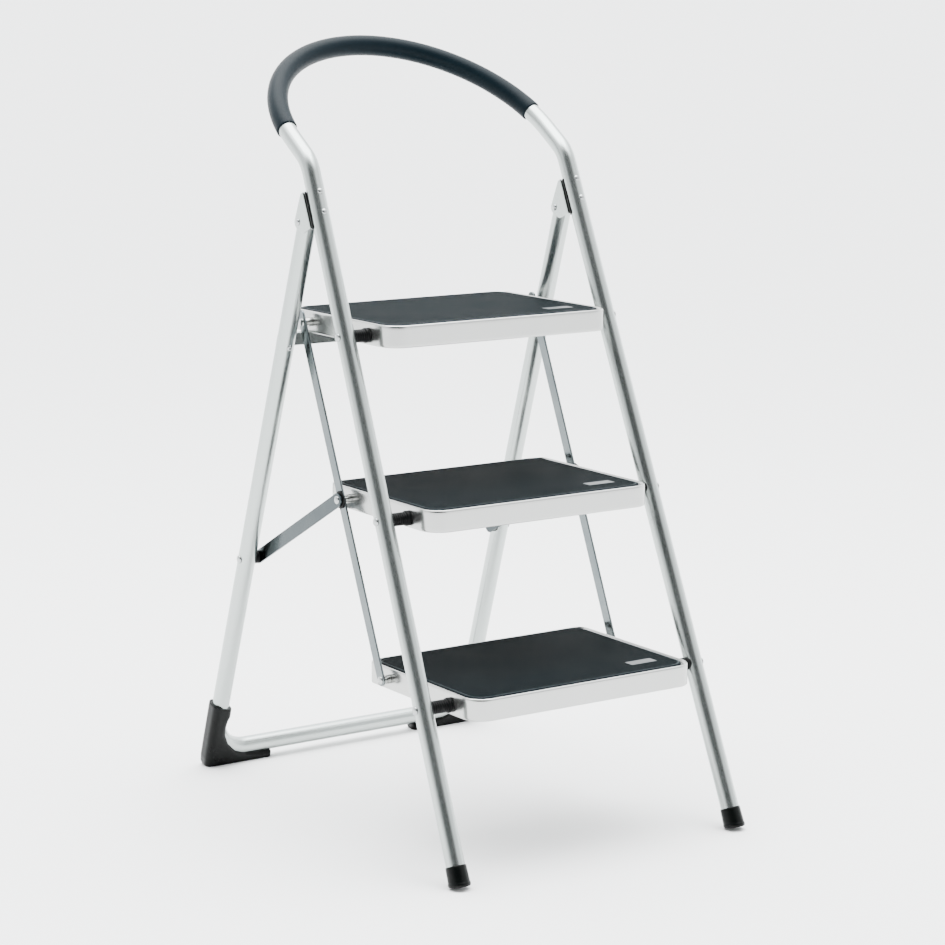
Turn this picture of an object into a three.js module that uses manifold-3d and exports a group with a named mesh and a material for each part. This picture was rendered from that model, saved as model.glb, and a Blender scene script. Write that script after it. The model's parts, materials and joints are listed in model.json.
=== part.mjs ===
// Folding step stool: a front tube frame with a hoop handle, a rear tube frame hinged to it,
// three treads, and flat links that fold the treads and the rear frame together.
// Units are millimetres. +X is to the user's right, -Y is the front, +Z is up, the floor is Z = 0.

import * as THREE from 'three';
import { mergeVertices } from 'three/addons/utils/BufferGeometryUtils.js';
import Module from 'manifold-3d';

const wasm = await Module();
wasm.setup();

// Driving dimensions

const GAP = 0.3;
const SHEET = 1.2;

const TUBE_RADIUS = 12.5;
const TUBE_BORE_RADIUS = 11.3;
const TUBE_SIDES = 12;
const BEND_STEP_DEGREES = 12.5;

const FRONT_LEAN = THREE.MathUtils.degToRad(23.3);
const REAR_LEAN = THREE.MathUtils.degToRad(18.9);
const HOOP_LEAN = THREE.MathUtils.degToRad(56.2);

const FRONT_HALF_AT_FLOOR = 224;
const REAR_HALF_AT_FLOOR = 222;
const HINGE_HALF = 210;
const HINGE_HEIGHT = 819;
const HINGE_BEHIND_FRONT_LEG = 36;

const HOOP_BEND_HEIGHT = 898.7;
const HOOP_BEND_RADIUS = 58;
const HOOP_ARM_LENGTH = 53;
const GRIP_RADIUS = 14.3;
const GRIP_START_DEGREES = 5;
const GRIP_END_DEGREES = 169;

const CROSSBAR_HEIGHT = 23;
const CROSSBAR_BEND_RADIUS = 52;

const TREAD_COUNT = 3;
const TREAD_NAMES = ['lower', 'middle', 'upper'];
const STEP_RISE = 230;
const FIRST_PIVOT_HEIGHT = 214.7;
const TREAD_HALF_WIDTH = 179;
const TREAD_FRONT = -57.8;
const TREAD_REAR = 204.4;
const TREAD_UNDERSIDE = -12.6;
const TREAD_TOP = 16.9;
const TREAD_FRONT_CORNER = 28;
const TREAD_REAR_CORNER = 15;
const TREAD_RIM = 3.6;
const TREAD_RECESS = 2.6;
const MAT_HEIGHT = 3.4;
const MAT_FRONT_CORNER = 24;
const MAT_REAR_CORNER = 22;
const MAT_RIGHT_MARGIN = 5;

const LINK_PIVOT_BACK = 147.6;
const LINK_PIVOT_UP = 2.3;
const LINK_THICKNESS = 3;
const LONG_LINK_INNER_X = 190.3;
const LONG_LINK_WIDTH = 16;
const LONG_LINK_TOP_EXTRA = 10;
const SHORT_LINK_WIDTH = 19;
const SHORT_LINK_FOOT_HEIGHT = 329.4;
const MIDDLE_WASHER_THICKNESS = 2.5;
const WASHER_RADIUS = 12;
const SLEEVE_RADIUS = 6.8;
const SPACER_RADIUS = 8.8;
const SPACER_FLANGE_RADIUS = 10.2;
const SPACER_FLANGE = 5.5;

const SHANK_RADIUS = 4;
const HEAD_RADIUS = 5.8;
const HEAD_HEIGHT = 2.5;
const TAIL_HEIGHT = 1.5;
const BRACKET_HEAD_RADIUS = 4.6;
const HINGE_HEAD_RADIUS = 5;
const HOLE_RADIUS = SHANK_RADIUS + GAP;
const RIVET_SIDES = 10;
const RING_SIDES = 12;

const BRACKET_CHEEK_INNER = 13.4;
const BRACKET_FRONT = 8;
const BRACKET_LOW = -18.5;
const BRACKET_HIGH = 32;
const BRACKET_TOP_DEPTH = 13.8;
const BRACKET_CORNER_RADIUS = 9;
const BRACKET_CORNER_DEPTH = 27;
const BRACKET_DISH_RADIUS = 14.7;
const SADDLE_RADIUS = 14.4;
const SADDLE_FRONT = 3;
const SADDLE_LOW = -19.5;
const SADDLE_HIGH = 31;
const BRACKET_RIVET_OFFSETS = [26, -2.6];

const STRUT_HALF_LENGTH = 218;
const STRUT_WIDTH = 20;
const STRUT_THICKNESS = 3;

const FOOT_TOP_RADIUS = 13.8;
const FOOT_BOTTOM_RADIUS = 15.4;
const FOOT_BOTTOM_REACH = -20;
const FOOT_HEIGHT = 28;
const FOOT_SOLE = 9;
const FOOT_SOLE_TILT = THREE.MathUtils.degToRad(14);
const FOOT_SOLE_MIDDLE = 3.3;
const SHOE_HALF_THICKNESS = 14.6;
const SHOE_EDGE_ROUND = 7;

// Offset that puts the middle of the whole stool's depth on Y = 0
const FRONT_FOOT_Y = -336;

// Worked-out dimensions

const hingeY = HINGE_HEIGHT * Math.tan(FRONT_LEAN) + HINGE_BEHIND_FRONT_LEG / Math.cos(FRONT_LEAN);
const rearFootY = hingeY + HINGE_HEIGHT * Math.tan(REAR_LEAN);
const crossbarY = rearFootY - CROSSBAR_HEIGHT * Math.tan(REAR_LEAN);
const longLinkOuterX = LONG_LINK_INNER_X + LINK_THICKNESS;
const shortLinkInnerX = longLinkOuterX + MIDDLE_WASHER_THICKNESS + 2 * GAP;
const shortLinkOuterX = shortLinkInnerX + LINK_THICKNESS;

// Materials

const MATERIALS = {
  frame: { color: 0xc3c6c6, roughness: 0.34, metalness: 0.85 },
  tread: { color: 0xb9bab8, roughness: 0.4, metalness: 0.8 },
  zinc: { color: 0xd2d3d2, roughness: 0.22, metalness: 1 },
  plastic: { color: 0x121417, roughness: 0.5, metalness: 0 },
  mat: { color: 0x25292d, roughness: 0.75, metalness: 0 },
  grip: { color: 0x2b2c2d, roughness: 0.85, metalness: 0 },
};

// Places on the two frames

function frontAxis(side, height) {
  const half = FRONT_HALF_AT_FLOOR + (HINGE_HALF - FRONT_HALF_AT_FLOOR) * (height / HINGE_HEIGHT);
  return new THREE.Vector3(side * half, height * Math.tan(FRONT_LEAN), height);
}

function rearAxis(side, height) {
  const half = REAR_HALF_AT_FLOOR + (HINGE_HALF - REAR_HALF_AT_FLOOR) * (height / HINGE_HEIGHT);
  return new THREE.Vector3(side * half, rearFootY - height * Math.tan(REAR_LEAN), height);
}

function treadPivot(index) {
  const height = FIRST_PIVOT_HEIGHT + index * STEP_RISE;
  return new THREE.Vector3(0, height * Math.tan(FRONT_LEAN), height);
}

function linkPivot(index) {
  return treadPivot(index).add(new THREE.Vector3(0, LINK_PIVOT_BACK, LINK_PIVOT_UP));
}

// Solid modelling helpers

function toManifold(geometry) {
  const bare = geometry.clone();
  bare.deleteAttribute('normal');
  bare.deleteAttribute('uv');
  const welded = mergeVertices(bare, 1e-4);
  const mesh = new wasm.Mesh({
    numProp: 3,
    vertProperties: new Float32Array(welded.attributes.position.array),
    triVerts: new Uint32Array(welded.index.array),
  });
  mesh.merge();
  return new wasm.Manifold(mesh);
}

function toGeometry(manifold) {
  const mesh = manifold.getMesh();
  const geometry = new THREE.BufferGeometry();
  geometry.setAttribute('position', new THREE.BufferAttribute(mesh.vertProperties, 3));
  geometry.setIndex(new THREE.BufferAttribute(mesh.triVerts, 1));
  const flat = geometry.toNonIndexed();
  flat.computeVertexNormals();
  return flat;
}

function subtract(geometry, ...tools) {
  let result = toManifold(geometry);
  for (const tool of tools) {
    result = result.subtract(toManifold(tool));
  }
  return toGeometry(result);
}

function intersect(geometry, tool) {
  return toGeometry(toManifold(geometry).intersect(toManifold(tool)));
}

function unite(geometry, ...others) {
  let result = toManifold(geometry);
  for (const other of others) {
    result = result.add(toManifold(other));
  }
  return toGeometry(result);
}

// A box from one corner to the opposite one
function boxBetween(low, high) {
  const geometry = new THREE.BoxGeometry(high[0] - low[0], high[1] - low[1], high[2] - low[2]);
  return geometry.translate((low[0] + high[0]) / 2, (low[1] + high[1]) / 2, (low[2] + high[2]) / 2);
}

// Pushes a side-view outline (Y across, Z up) along X
function extrudeSideways(shape, lowX, highX, curveSegments = 5) {
  const options = { depth: highX - lowX, bevelEnabled: false, curveSegments };
  const geometry = new THREE.ExtrudeGeometry(shape, options);
  const basis = new THREE.Matrix4().makeBasis(
    new THREE.Vector3(0, 1, 0),
    new THREE.Vector3(0, 0, 1),
    new THREE.Vector3(1, 0, 0),
  );
  return geometry.applyMatrix4(basis).translate(lowX, 0, 0);
}

// A turned piece whose axis runs along +X from the first profile point to the last
function turnAlongX(profile, sides = RIVET_SIDES) {
  const points = profile.map(([radius, along]) => new THREE.Vector2(radius, along));
  return new THREE.LatheGeometry(points, sides).rotateZ(-Math.PI / 2);
}

function cylinderAlongX(radius, lowX, highX, sides = RIVET_SIDES) {
  return turnAlongX([[0, lowX], [radius, lowX], [radius, highX], [0, highX]], sides);
}

// A line of points through the corners, with each corner rounded to its radius
function roundedPath(corners, radii) {
  const points = [corners[0].clone()];
  for (let i = 1; i < corners.length - 1; i++) {
    const incoming = corners[i].clone().sub(corners[i - 1]).normalize();
    const outgoing = corners[i + 1].clone().sub(corners[i]).normalize();
    const turn = incoming.angleTo(outgoing);
    const reach = radii[i - 1] * Math.tan(turn / 2);
    const start = corners[i].clone().addScaledVector(incoming, -reach);
    const inward = outgoing.clone().sub(incoming.clone().multiplyScalar(incoming.dot(outgoing))).normalize();
    const steps = Math.ceil(THREE.MathUtils.radToDeg(turn) / BEND_STEP_DEGREES);
    for (let step = 0; step <= steps; step++) {
      const angle = (turn * step) / steps;
      const point = start.clone().addScaledVector(incoming, radii[i - 1] * Math.sin(angle));
      point.addScaledVector(inward, radii[i - 1] * (1 - Math.cos(angle)));
      points.push(point);
    }
  }
  points.push(corners[corners.length - 1].clone());
  return points.filter((point, i) => i === 0 || point.distanceTo(points[i - 1]) > 0.01);
}

// A round bar or tube along a line of points; a bore radius of 0 makes it solid
function sweep(points, radius, boreRadius = 0, sides = TUBE_SIDES) {
  const directions = points.map((point, i) => {
    const before = points[Math.max(i - 1, 0)];
    const after = points[Math.min(i + 1, points.length - 1)];
    const back = point.clone().sub(before).normalize();
    const ahead = after.clone().sub(point).normalize();
    return back.add(ahead).normalize();
  });
  const first = directions[0];
  let across = Math.abs(first.x) < 0.9 ? new THREE.Vector3(1, 0, 0) : new THREE.Vector3(0, 0, 1);
  const positions = [];
  const rings = points.length;
  const radii = boreRadius > 0 ? [radius, boreRadius] : [radius];
  const frames = points.map((point, i) => {
    const direction = directions[i];
    across = across.clone().addScaledVector(direction, -across.dot(direction)).normalize();
    return { point, across, up: direction.clone().cross(across) };
  });
  for (const ringRadius of radii) {
    for (let i = 0; i < rings; i++) {
      const previous = i > 0 ? points[i].clone().sub(points[i - 1]).normalize() : directions[i];
      const stretch = 1 / Math.max(previous.dot(directions[i]), 0.5);
      const bendSide = directions[i].clone().addScaledVector(previous, -directions[i].dot(previous));
      const bendAxis = bendSide.length() > 1e-6 ? bendSide.normalize() : null;
      for (let k = 0; k < sides; k++) {
        const angle = (2 * Math.PI * k) / sides;
        const offset = frames[i].across.clone().multiplyScalar(ringRadius * Math.cos(angle));
        offset.addScaledVector(frames[i].up, ringRadius * Math.sin(angle));
        if (bendAxis) {
          const inPlane = bendAxis.clone().addScaledVector(directions[i], -bendAxis.dot(directions[i]));
          inPlane.normalize();
          offset.addScaledVector(inPlane, offset.dot(inPlane) * (stretch - 1));
        }
        const vertex = points[i].clone().add(offset);
        positions.push(vertex.x, vertex.y, vertex.z);
      }
    }
  }
  const indices = [];
  const at = (layer, ring, k) => layer * rings * sides + ring * sides + (k % sides);
  for (let ring = 0; ring < rings - 1; ring++) {
    for (let k = 0; k < sides; k++) {
      indices.push(at(0, ring, k), at(0, ring, k + 1), at(0, ring + 1, k + 1));
      indices.push(at(0, ring, k), at(0, ring + 1, k + 1), at(0, ring + 1, k));
      if (boreRadius > 0) {
        indices.push(at(1, ring, k), at(1, ring + 1, k + 1), at(1, ring, k + 1));
        indices.push(at(1, ring, k), at(1, ring + 1, k), at(1, ring + 1, k + 1));
      }
    }
  }
  const last = rings - 1;
  for (let k = 0; k < sides; k++) {
    if (boreRadius > 0) {
      indices.push(at(0, 0, k), at(1, 0, k), at(1, 0, k + 1));
      indices.push(at(0, 0, k), at(1, 0, k + 1), at(0, 0, k + 1));
      indices.push(at(0, last, k), at(1, last, k + 1), at(1, last, k));
      indices.push(at(0, last, k), at(0, last, k + 1), at(1, last, k + 1));
    } else if (k > 0 && k < sides - 1) {
      indices.push(at(0, 0, 0), at(0, 0, k + 1), at(0, 0, k));
      indices.push(at(0, last, 0), at(0, last, k), at(0, last, k + 1));
    }
  }
  const geometry = new THREE.BufferGeometry();
  geometry.setAttribute('position', new THREE.Float32BufferAttribute(positions, 3));
  geometry.setIndex(indices);
  return geometry;
}

// A flat bar outline with round ends between two pivots; the top may run on past its pivot
function barShape(low, high, width, extra = 0) {
  const along = Math.atan2(high.z - low.z, high.y - low.y);
  const radius = width / 2;
  const shape = new THREE.Shape();
  const topY = high.y + extra * Math.cos(along);
  const topZ = high.z + extra * Math.sin(along);
  shape.absarc(topY, topZ, radius, along - Math.PI / 2, along + Math.PI / 2);
  shape.absarc(low.y, low.z, radius, along + Math.PI / 2, along + (3 * Math.PI) / 2);
  shape.closePath();
  return shape;
}

// A round-headed rivet along +X; the shank runs from 0 to grip length and the far end is upset
function rivet(gripLength, tailHeight = HEAD_HEIGHT, headRadius = HEAD_RADIUS) {
  const profile = [
    [0, -HEAD_HEIGHT],
    [headRadius * 0.75, -HEAD_HEIGHT * 0.7],
    [headRadius, 0],
    [SHANK_RADIUS, 0],
    [SHANK_RADIUS, gripLength],
    [headRadius, gripLength],
    [0, gripLength + tailHeight],
  ];
  return turnAlongX(profile);
}

// Stool assembly

const stool = new THREE.Group();
stool.name = 'step_stool';
const body = new THREE.Group();
body.name = 'stool_body';
body.position.set(0, FRONT_FOOT_Y, 0);
stool.add(body);

function addPiece(name, geometry, materialName, place = new THREE.Vector3()) {
  const material = new THREE.MeshStandardMaterial(MATERIALS[materialName]);
  const mesh = new THREE.Mesh(geometry, material);
  mesh.name = name;
  mesh.position.copy(place);
  body.add(mesh);
  return mesh;
}

const SIDES = [
  { name: 'left', sign: -1 },
  { name: 'right', sign: 1 },
];

// Front frame

function frontTubePath() {
  const up = new THREE.Vector3(0, Math.sin(HOOP_LEAN), Math.cos(HOOP_LEAN));
  const corner = frontAxis(1, HOOP_BEND_HEIGHT);
  const hoopReach = HOOP_ARM_LENGTH + corner.x;
  const top = corner.clone().addScaledVector(up, hoopReach);
  const mirrored = (point) => new THREE.Vector3(-point.x, point.y, point.z);
  const foot = frontAxis(1, FOOT_SOLE);
  const corners = [foot, corner, top, mirrored(top), mirrored(corner), mirrored(foot)];
  const radii = [HOOP_BEND_RADIUS, corner.x - 0.01, corner.x - 0.01, HOOP_BEND_RADIUS];
  return roundedPath(corners, radii);
}

// A short round cutter across a tube, centred on a point
function crossCutter(place, direction, radius, length) {
  const geometry = cylinderAlongX(radius, -length / 2, length / 2);
  const turn = new THREE.Quaternion().setFromUnitVectors(new THREE.Vector3(1, 0, 0), direction);
  return geometry.applyQuaternion(turn).translate(place.x, place.y, place.z);
}

function bracketRivetPlace(side, offset) {
  const height = HINGE_HEIGHT + HINGE_BEHIND_FRONT_LEG * Math.sin(FRONT_LEAN);
  return frontAxis(side, height + offset * Math.cos(FRONT_LEAN));
}

const acrossFrontLeg = new THREE.Vector3(0, Math.cos(FRONT_LEAN), -Math.sin(FRONT_LEAN));
const acrossRearLeg = new THREE.Vector3(0, Math.cos(REAR_LEAN), Math.sin(REAR_LEAN));
const alongX = new THREE.Vector3(1, 0, 0);

function buildFrontTube() {
  const cutters = [];
  for (const { sign } of SIDES) {
    for (let i = 0; i < TREAD_COUNT; i++) {
      cutters.push(crossCutter(frontAxis(sign, treadPivot(i).z), alongX, HOLE_RADIUS, 40));
    }
    for (const offset of BRACKET_RIVET_OFFSETS) {
      cutters.push(crossCutter(bracketRivetPlace(sign, offset), acrossFrontLeg, HOLE_RADIUS, 40));
    }
  }
  const tube = sweep(frontTubePath(), TUBE_RADIUS, TUBE_BORE_RADIUS);
  addPiece('front_frame_tube', subtract(tube, ...cutters), 'frame');
}

function buildGrip() {
  const up = new THREE.Vector3(0, Math.sin(HOOP_LEAN), Math.cos(HOOP_LEAN));
  const corner = frontAxis(1, HOOP_BEND_HEIGHT);
  const centre = new THREE.Vector3(0, corner.y, corner.z).addScaledVector(up, HOOP_ARM_LENGTH);
  const points = [];
  const steps = 14;
  for (let step = 0; step <= steps; step++) {
    const degrees = GRIP_START_DEGREES + ((GRIP_END_DEGREES - GRIP_START_DEGREES) * step) / steps;
    const angle = THREE.MathUtils.degToRad(degrees);
    const point = centre.clone().addScaledVector(alongX, -corner.x * Math.cos(angle));
    points.push(point.addScaledVector(up, corner.x * Math.sin(angle)));
  }
  const sleeve = sweep(points, GRIP_RADIUS);
  const tube = sweep(frontTubePath(), TUBE_RADIUS + GAP);
  addPiece('handle_grip', subtract(sleeve, tube), 'grip');
}

function buildFrontFeet() {
  for (const { name, sign } of SIDES) {
    const bottom = frontAxis(sign, FOOT_BOTTOM_REACH);
    const top = frontAxis(sign, FOOT_HEIGHT);
    const along = top.clone().sub(bottom);
    const turn = new THREE.Quaternion().setFromUnitVectors(
      new THREE.Vector3(0, 1, 0), along.clone().normalize());
    const outer = new THREE.CylinderGeometry(
      FOOT_TOP_RADIUS, FOOT_BOTTOM_RADIUS, along.length(), TUBE_SIDES + 4);
    outer.applyQuaternion(turn);
    const middle = bottom.clone().add(top).multiplyScalar(0.5);
    outer.translate(middle.x, middle.y, middle.z);
    const bore = sweep([frontAxis(sign, FOOT_SOLE - GAP), frontAxis(sign, FOOT_HEIGHT + 20)],
      TUBE_RADIUS + GAP, 0, TUBE_SIDES);
    const sole = frontAxis(sign, FOOT_SOLE_MIDDLE);
    const soleCut = boxBetween([-400, -100, -100], [400, 100, 0]).rotateX(-FOOT_SOLE_TILT);
    soleCut.translate(0, sole.y, sole.z);
    const floorCut = boxBetween([-400, -200, -100], [400, 200, 0]);
    addPiece(`front_foot_${name}`, subtract(outer, bore, soleCut, floorCut), 'plastic');
  }
}

// Hinge brackets: a sheet channel behind each front leg, on a black saddle

function bracketFrame(side) {
  const height = HINGE_HEIGHT + HINGE_BEHIND_FRONT_LEG * Math.sin(FRONT_LEAN);
  const place = frontAxis(side, height);
  place.x = side * HINGE_HALF;
  return place;
}

function bracketOutline() {
  const outline = new THREE.Shape();
  const corner = BRACKET_CORNER_RADIUS;
  const quarterTurn = Math.PI / 4;
  outline.moveTo(BRACKET_FRONT, BRACKET_LOW);
  outline.lineTo(BRACKET_CORNER_DEPTH, BRACKET_LOW);
  outline.absarc(BRACKET_CORNER_DEPTH, BRACKET_LOW + corner, corner, -Math.PI / 2, -quarterTurn);
  outline.absarc(HINGE_BEHIND_FRONT_LEG, 0, corner, -quarterTurn, 0.5);
  outline.lineTo(BRACKET_TOP_DEPTH, BRACKET_HIGH);
  outline.lineTo(BRACKET_FRONT, BRACKET_HIGH);
  outline.closePath();
  return outline;
}

function buildBrackets() {
  const cheekOuter = BRACKET_CHEEK_INNER + SHEET;
  const block = extrudeSideways(bracketOutline(), -cheekOuter, cheekOuter, 3);
  const inside = boxBetween([-BRACKET_CHEEK_INNER, 0, -60], [BRACKET_CHEEK_INNER, 100, 60]);
  const pivotHole = cylinderAlongX(HOLE_RADIUS, -30, 30).translate(0, HINGE_BEHIND_FRONT_LEG, 0);
  const liner = boxBetween([-cheekOuter, SADDLE_FRONT, SADDLE_LOW], [cheekOuter, 30, SADDLE_HIGH]);
  const gripLength = TUBE_RADIUS + BRACKET_DISH_RADIUS + SHEET + 2 * GAP;
  const pinLength = 2 * (cheekOuter + GAP);
  for (const { name, sign } of SIDES) {
    const place = bracketFrame(sign);
    const turned = new THREE.Matrix4().makeRotationX(-FRONT_LEAN);
    turned.setPosition(place);
    const inPlace = (geometry) => geometry.clone().applyMatrix4(turned);
    const rivetHoles = BRACKET_RIVET_OFFSETS.map((offset) => {
      const hole = cylinderAlongX(HOLE_RADIUS, -40, 40).rotateZ(Math.PI / 2);
      return inPlace(hole.translate(bracketRivetPlace(sign, offset).x - place.x, 0, offset));
    });
    const alongLeg = [frontAxis(sign, 700), frontAxis(sign, 890)];
    const hollow = subtract(inPlace(inside), sweep(alongLeg, BRACKET_DISH_RADIUS + SHEET));
    const dish = sweep(alongLeg, BRACKET_DISH_RADIUS);
    const channel = subtract(inPlace(block), hollow, dish, inPlace(pivotHole), ...rivetHoles);
    addPiece(`hinge_bracket_${name}`, channel, 'frame');
    const leg = sweep(alongLeg, TUBE_RADIUS + GAP);
    const saddle = intersect(inPlace(liner), sweep(alongLeg, SADDLE_RADIUS));
    addPiece(`bracket_saddle_${name}`, subtract(saddle, leg, ...rivetHoles), 'plastic');
    BRACKET_RIVET_OFFSETS.forEach((offset, i) => {
      const start = bracketRivetPlace(sign, offset);
      start.addScaledVector(acrossFrontLeg, -TUBE_RADIUS - GAP);
      const pin = rivet(gripLength, TAIL_HEIGHT, BRACKET_HEAD_RADIUS);
      pin.rotateZ(Math.PI / 2).rotateX(-FRONT_LEAN);
      addPiece(`bracket_rivet_${name}_${i === 0 ? 'upper' : 'lower'}`, pin, 'zinc', start);
    });
    const pin = rivet(pinLength, HEAD_HEIGHT, HINGE_HEAD_RADIUS).translate(-pinLength / 2, 0, 0);
    addPiece(`hinge_pin_${name}`, pin, 'zinc', new THREE.Vector3(sign * HINGE_HALF, hingeY, HINGE_HEIGHT));
  }
}

// Rear frame

const REAR_TOP_ABOVE_HINGE = 10;

function rearTubePath() {
  const top = rearAxis(1, HINGE_HEIGHT + REAR_TOP_ABOVE_HINGE * Math.cos(REAR_LEAN));
  const corner = rearAxis(1, CROSSBAR_HEIGHT);
  const mirrored = (point) => new THREE.Vector3(-point.x, point.y, point.z);
  const corners = [top, corner, mirrored(corner), mirrored(top)];
  return roundedPath(corners, [CROSSBAR_BEND_RADIUS, CROSSBAR_BEND_RADIUS]);
}

const strutHeight = FIRST_PIVOT_HEIGHT + 2 * STEP_RISE + TREAD_UNDERSIDE - GAP
  - (STRUT_WIDTH / 2) * Math.cos(REAR_LEAN)
  - (TUBE_RADIUS + GAP + STRUT_THICKNESS) * Math.sin(REAR_LEAN);

function buildRearTube() {
  const cutters = [];
  for (const { sign } of SIDES) {
    cutters.push(crossCutter(rearAxis(sign, HINGE_HEIGHT), alongX, HOLE_RADIUS, 40));
    cutters.push(crossCutter(rearAxis(sign, SHORT_LINK_FOOT_HEIGHT), alongX, HOLE_RADIUS, 40));
    cutters.push(crossCutter(rearAxis(sign, strutHeight), acrossRearLeg, HOLE_RADIUS, 40));
  }
  const tube = sweep(rearTubePath(), TUBE_RADIUS, TUBE_BORE_RADIUS);
  addPiece('rear_frame_tube', subtract(tube, ...cutters), 'frame');
}

function buildStrut() {
  const front = TUBE_RADIUS + GAP;
  const bar = boxBetween(
    [-STRUT_HALF_LENGTH, front, -STRUT_WIDTH / 2],
    [STRUT_HALF_LENGTH, front + STRUT_THICKNESS, STRUT_WIDTH / 2],
  );
  const place = rearAxis(1, strutHeight);
  const holes = SIDES.map(({ sign }) => {
    const hole = cylinderAlongX(HOLE_RADIUS, 0, 40).rotateZ(Math.PI / 2);
    return hole.translate(sign * place.x, 0, 0);
  });
  const strut = subtract(bar, ...holes).rotateX(REAR_LEAN);
  addPiece('rear_strut', strut, 'frame', new THREE.Vector3(0, place.y, place.z));
  for (const { name, sign } of SIDES) {
    const start = rearAxis(sign, strutHeight).addScaledVector(acrossRearLeg, -TUBE_RADIUS - GAP);
    const gripLength = 2 * TUBE_RADIUS + STRUT_THICKNESS + 3 * GAP;
    const pin = rivet(gripLength, TAIL_HEIGHT, BRACKET_HEAD_RADIUS);
    pin.rotateZ(Math.PI / 2).rotateX(REAR_LEAN);
    addPiece(`strut_rivet_${name}`, pin, 'zinc', start);
  }
}

// Rear feet: a moulded shoe around the outside of each bend

function shoeOutline(sign) {
  const outline = new THREE.Shape();
  const points = [
    [-234.5, 107], [-237.6, 16], [-236.6, 5], [-231, -9], [-127, -9], [-124.5, 12],
    [-150, 16], [-170, 19], [-189, 29], [-202, 42.5], [-209, 56], [-209.5, 78], [-207, 100],
  ];
  points.forEach(([x, up], i) => {
    if (i === 0) outline.moveTo(-sign * x, up);
    else outline.lineTo(-sign * x, up);
  });
  outline.closePath();
  return outline;
}

function buildRearFeet() {
  const tube = sweep(rearTubePath(), TUBE_RADIUS + GAP);
  for (const { name, sign } of SIDES) {
    const middle = 2 * (SHOE_HALF_THICKNESS - SHOE_EDGE_ROUND);
    const options = {
      depth: middle,
      bevelEnabled: true,
      bevelThickness: SHOE_EDGE_ROUND,
      bevelSize: SHOE_EDGE_ROUND - 1,
      bevelOffset: 1 - SHOE_EDGE_ROUND,
      bevelSegments: 2,
    };
    const slab = new THREE.ExtrudeGeometry(shoeOutline(sign), options);
    slab.translate(0, 0, -middle / 2);
    slab.rotateX(Math.PI / 2 + REAR_LEAN);
    slab.translate(0, rearFootY, 0);
    const floorCut = boxBetween([-400, 500, -100], [400, 900, 0]);
    addPiece(`rear_foot_${name}`, subtract(slab, tube, floorCut), 'plastic');
  }
}

// Treads, mats and the spacers and pins that carry them

function treadPlan(inset, frontRadius, rearRadius, rightMargin = 0) {
  const half = TREAD_HALF_WIDTH - inset;
  const right = half - rightMargin;
  const front = TREAD_FRONT + inset;
  const rear = TREAD_REAR - inset;
  const plan = new THREE.Shape();
  plan.moveTo(-half + frontRadius, front);
  plan.lineTo(right - frontRadius, front);
  plan.absarc(right - frontRadius, front + frontRadius, frontRadius, -Math.PI / 2, 0);
  plan.absarc(right - rearRadius, rear - rearRadius, rearRadius, 0, Math.PI / 2);
  plan.absarc(-half + rearRadius, rear - rearRadius, rearRadius, Math.PI / 2, Math.PI);
  plan.absarc(-half + frontRadius, front + frontRadius, frontRadius, Math.PI, 1.5 * Math.PI);
  return plan;
}

function extrudeUp(plan, low, high) {
  const options = { depth: high - low, bevelEnabled: false, curveSegments: 4 };
  return new THREE.ExtrudeGeometry(plan, options).translate(0, 0, low);
}

function buildTreads() {
  const plate = TREAD_TOP - TREAD_RECESS;
  const outside = extrudeUp(
    treadPlan(0, TREAD_FRONT_CORNER, TREAD_REAR_CORNER), TREAD_UNDERSIDE, TREAD_TOP);
  const hollow = extrudeUp(
    treadPlan(SHEET, TREAD_FRONT_CORNER - SHEET, TREAD_REAR_CORNER - SHEET), -40, plate - SHEET);
  const recess = extrudeUp(
    treadPlan(TREAD_RIM, MAT_FRONT_CORNER + GAP, MAT_REAR_CORNER + GAP), plate, 40);
  const matInset = TREAD_RIM + GAP;
  const matPlan = treadPlan(matInset, MAT_FRONT_CORNER, MAT_REAR_CORNER, MAT_RIGHT_MARGIN);
  const mat = extrudeUp(matPlan, plate + GAP, plate + GAP + MAT_HEIGHT);
  const pivotHole = cylinderAlongX(HOLE_RADIUS, -200, 200);
  const linkHole = cylinderAlongX(HOLE_RADIUS, -200, 200)
    .translate(0, LINK_PIVOT_BACK, LINK_PIVOT_UP);
  const pan = subtract(outside, hollow, recess, pivotHole, linkHole);
  TREAD_NAMES.forEach((name, i) => {
    addPiece(`tread_${name}`, pan.clone(), 'tread', treadPivot(i));
    addPiece(`mat_${name}`, mat.clone(), 'mat', treadPivot(i));
  });
}

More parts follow.
